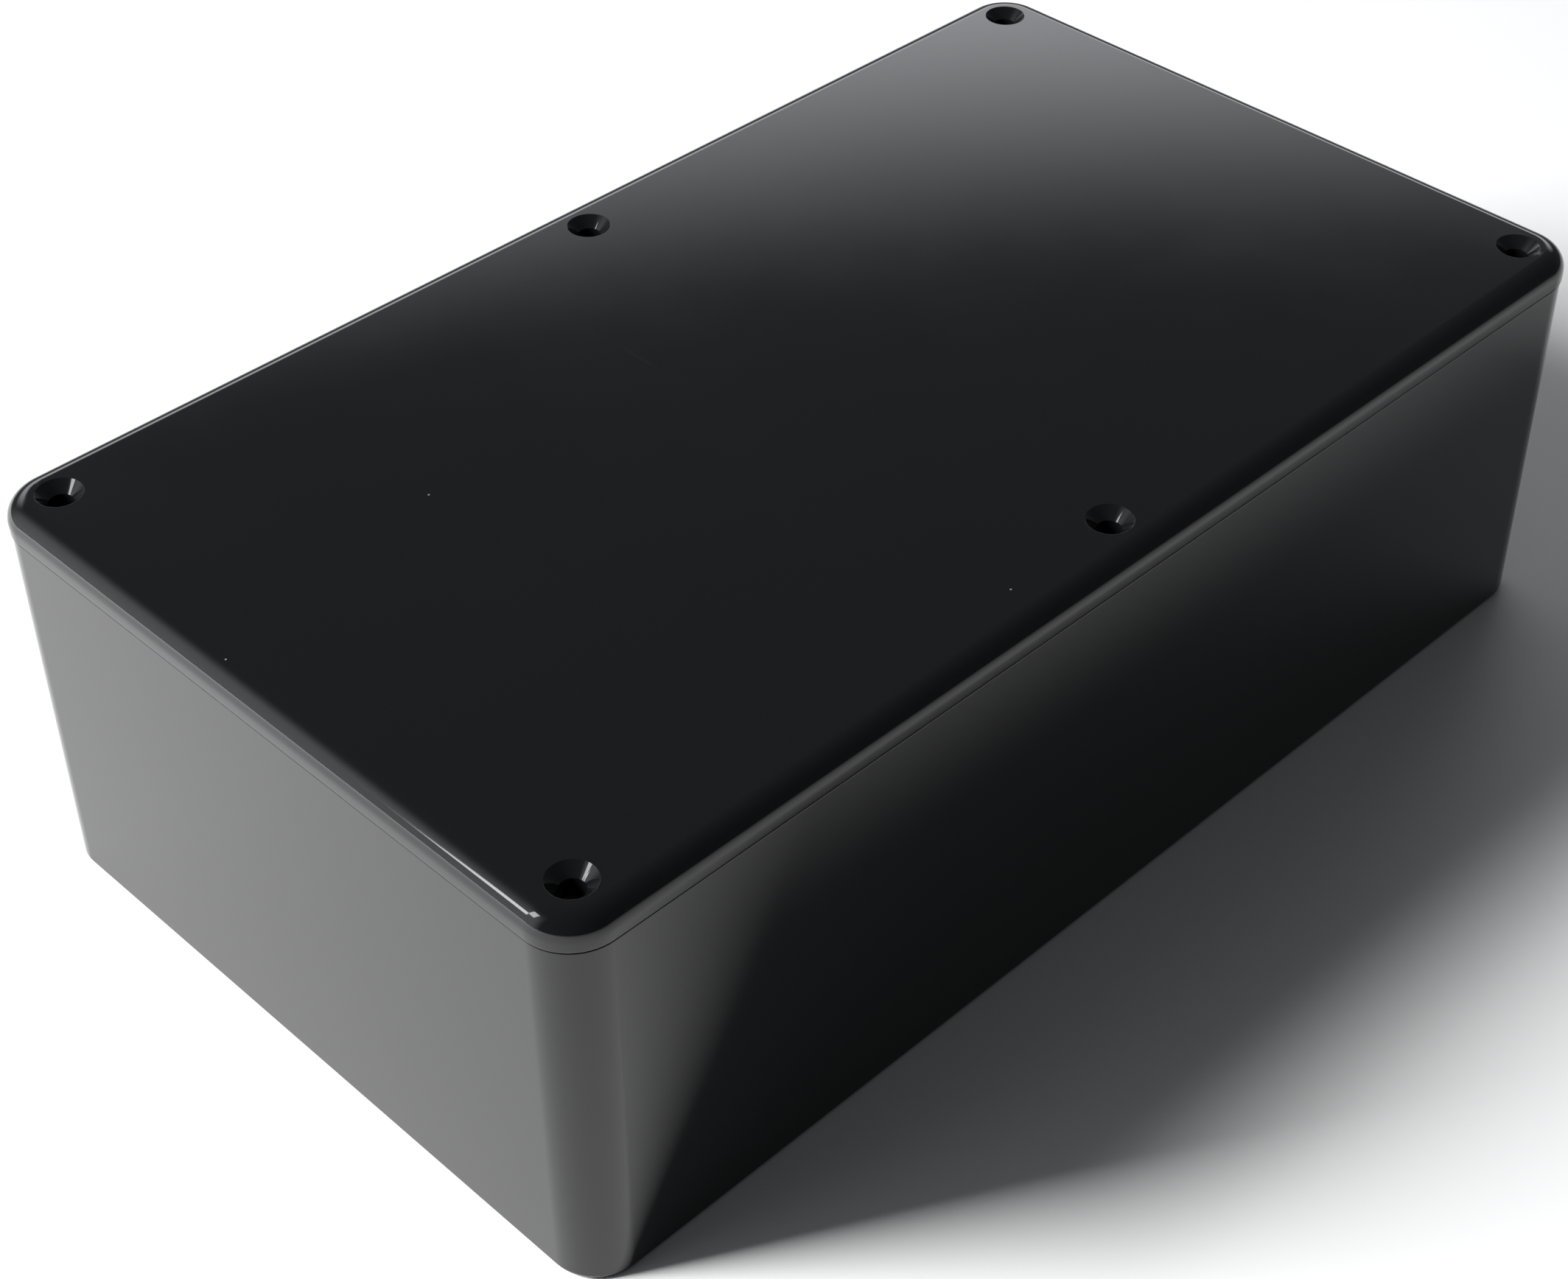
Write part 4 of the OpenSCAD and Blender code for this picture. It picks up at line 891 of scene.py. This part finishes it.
def dress(piece, slot, body, *replaced):
    """Finishes a piece in the material that goes with its slot."""
    finish_piece(piece, body, slot, MATERIALS[slot], *replaced)


dress(tray(), "case_plastic", "case", "box_body")
dress(lid(), "case_plastic", "lid", "lid")
for name in PORTS:
    nut = name + "_port_nut"
    nut_low, nut_high = limits(nut)
    dress(port_shell(name), "port_nickel", "case", name + "_port_shell")
    flats = (nut_high.y - nut_low.y) / 2
    dress(hex_nut(name + "_nut", nut, THREAD_R + 0.02, flats), "port_nickel", "case", nut)
dress(power_jack(), "socket_plastic", "case", "power_jack_body")
dress(switch_frame(), "socket_plastic", "case", "switch_frame")
dress(refined("switch_rocker", 0.3, 3), "socket_plastic", "rocker", "switch_rocker")
dress(rocker_marks(), "header_plastic", "rocker")
dress(status_leds(), "lamp_lens", "case", "status_leds")
dress(capacitors(), "capacitor_sleeve", "case", "capacitors")
dress(chip_ends(), "shield_tin", "case")
fuse_glass, fuse_metal = fuse_parts()
dress(fuse_glass, "fuse_glass", "case", "fuse")
dress(fuse_metal, "port_nickel", "case")
dress(terminal_screws(), "screw_steel", "case")

# Every other node is shown as a finer copy of itself
MADE = {"box_body", "lid", "power_jack_body", "switch_frame", "switch_rocker", "status_leds",
        "capacitors", "fuse"}
MADE |= {name + part for name in PORTS for part in ("_port_shell", "_port_nut")}
WIRES = {"positive_lead", "switched_lead", "negative_lead", "led_ribbon"}
for name in sorted(set(NODES) - MADE):
    dress(refined(name, 0.08, 2, 2 if name in WIRES else 0), SLOTS[name], "case", name)


# ---- Camera, floor and light ----

def bearing_vector(bearing, elevation):
    """Direction given in degrees, from +X towards +Y and up from the floor."""
    b, e = math.radians(bearing), math.radians(elevation)
    return Vector((math.cos(b) * math.cos(e), math.sin(b) * math.cos(e), math.sin(e)))


def add_camera():
    """Camera above the case's near corner."""
    aim, azimuth, elevation, distance = Vector((-0.0353, -0.0340, 0.060)), -45.25, 39.24, 0.3399
    back = bearing_vector(azimuth - 90, elevation)
    data = bpy.data.cameras.new("camera")
    data.sensor_width, data.lens = 36, 65.57
    data.shift_x, data.shift_y = -0.0267, -0.0276
    data.clip_start, data.clip_end = 0.01, 50
    camera = bpy.data.objects.new("camera", data)
    camera.location = aim + back * distance
    camera.rotation_euler = (-back).to_track_quat("-Z", "Y").to_euler()
    bpy.context.scene.collection.objects.link(camera)
    bpy.context.scene.camera = camera


def add_table():
    """Pale, slightly uneven table top."""
    floor = loft("floor", [rounded_loop(4000, 4000, 1500, z, 24) for z in (-20, 0)])
    pale, tree, main, where = new_material("table", (0.86, 0.86, 0.86), 0.6)
    mottle = noise(tree, where, 60, detail=4)
    tree.links.new(ramp(tree, mottle, 0.3, 0.7, 0.55, 0.65), main.inputs["Roughness"])
    floor.data.materials.append(pale)


def panel(name, bearing, elevation, width, height, radiance, glossy):
    """Light that faces the case. It shows in reflections only, or in everything but them."""
    light = bpy.data.lights.new(name, "AREA")
    light.shape, light.size, light.size_y = "RECTANGLE", width, height
    light.energy = radiance * math.pi * width * height
    lamp = bpy.data.objects.new(name, light)
    out = bearing_vector(bearing, elevation)
    lamp.location = out * PANEL_DISTANCE + PANEL_AIM
    lamp.rotation_euler = (-out).to_track_quat("-Z", "Y").to_euler()
    lamp.visible_camera, lamp.visible_glossy, lamp.visible_diffuse = False, glossy, not glossy
    bpy.context.scene.collection.objects.link(lamp)


def add_world():
    """Dim room with a bright band above the horizon on the far side and a glow round the key light."""
    world = bpy.data.worlds.new("studio")
    world.use_nodes = True
    tree = world.node_tree
    toward = tree.nodes.new("ShaderNodeTexCoord").outputs["Generated"]
    parts = shader(tree, "SeparateXYZ", {"Vector": toward}).outputs
    height = maths(tree, "ARCSINE", parts["Z"])
    bearing = maths(tree, "ARCTAN2", parts["Y"], parts["X"])

    def fade(value, start, end, at_start, at_end):
        """Smooth change between two angles in degrees."""
        spread = {"Value": value, "From Min": math.radians(start), "From Max": math.radians(end),
                  "To Min": at_start, "To Max": at_end}
        return shader(tree, "MapRange", spread, interpolation_type="SMOOTHSTEP").outputs["Result"]

    def times(first, second):
        return maths(tree, "MULTIPLY", first, second)

    # The band's upper edge rises a little to the left
    level = maths(tree, "ADD", height, maths(tree, "MULTIPLY_ADD", bearing, -0.1, math.radians(4.1)))
    band = times(fade(level, 25.5, 33, 3.1, 0), fade(height, 15, 22, 0.04, 1))
    band = times(band, times(fade(bearing, 5, 26, 0, 1), fade(bearing, 62, 105, 1, 0)))
    # The room is dimmest behind the camera
    far = maths(tree, "ADD", parts["X"], parts["Y"])
    room = ramp(tree, far, -0.7, 0.9, 0.070, 0.105)
    glow = times(fade(bearing, 95, 135, 0, 1.1), fade(bearing, 160, 178, 1, 0))
    glow = times(glow, fade(height, 25, 60, 1, 0))
    sky = maths(tree, "ADD", maths(tree, "ADD", band, room), glow)
    tree.links.new(sky, tree.nodes["Background"].inputs["Strength"])
    tree.nodes["Background"].inputs["Color"].default_value = (0.93, 0.96, 1.0, 1)
    bpy.context.scene.world = world


PANEL_DISTANCE, PANEL_AIM = 1.3, Vector((0, 0, 0.03))
bpy.context.scene.view_settings.view_transform = "Standard"
add_camera()
add_table()
# The key is soft, and two small panels give the glints along the lid's edge and in its holes
panel("key", 146, 35, 0.38, 0.52, 64, False)
panel("edge_glint", 146, 25, 0.09, 0.20, 12, True)
panel("hole_glint", 154, 38, 0.24, 0.38, 9, True)
add_world()
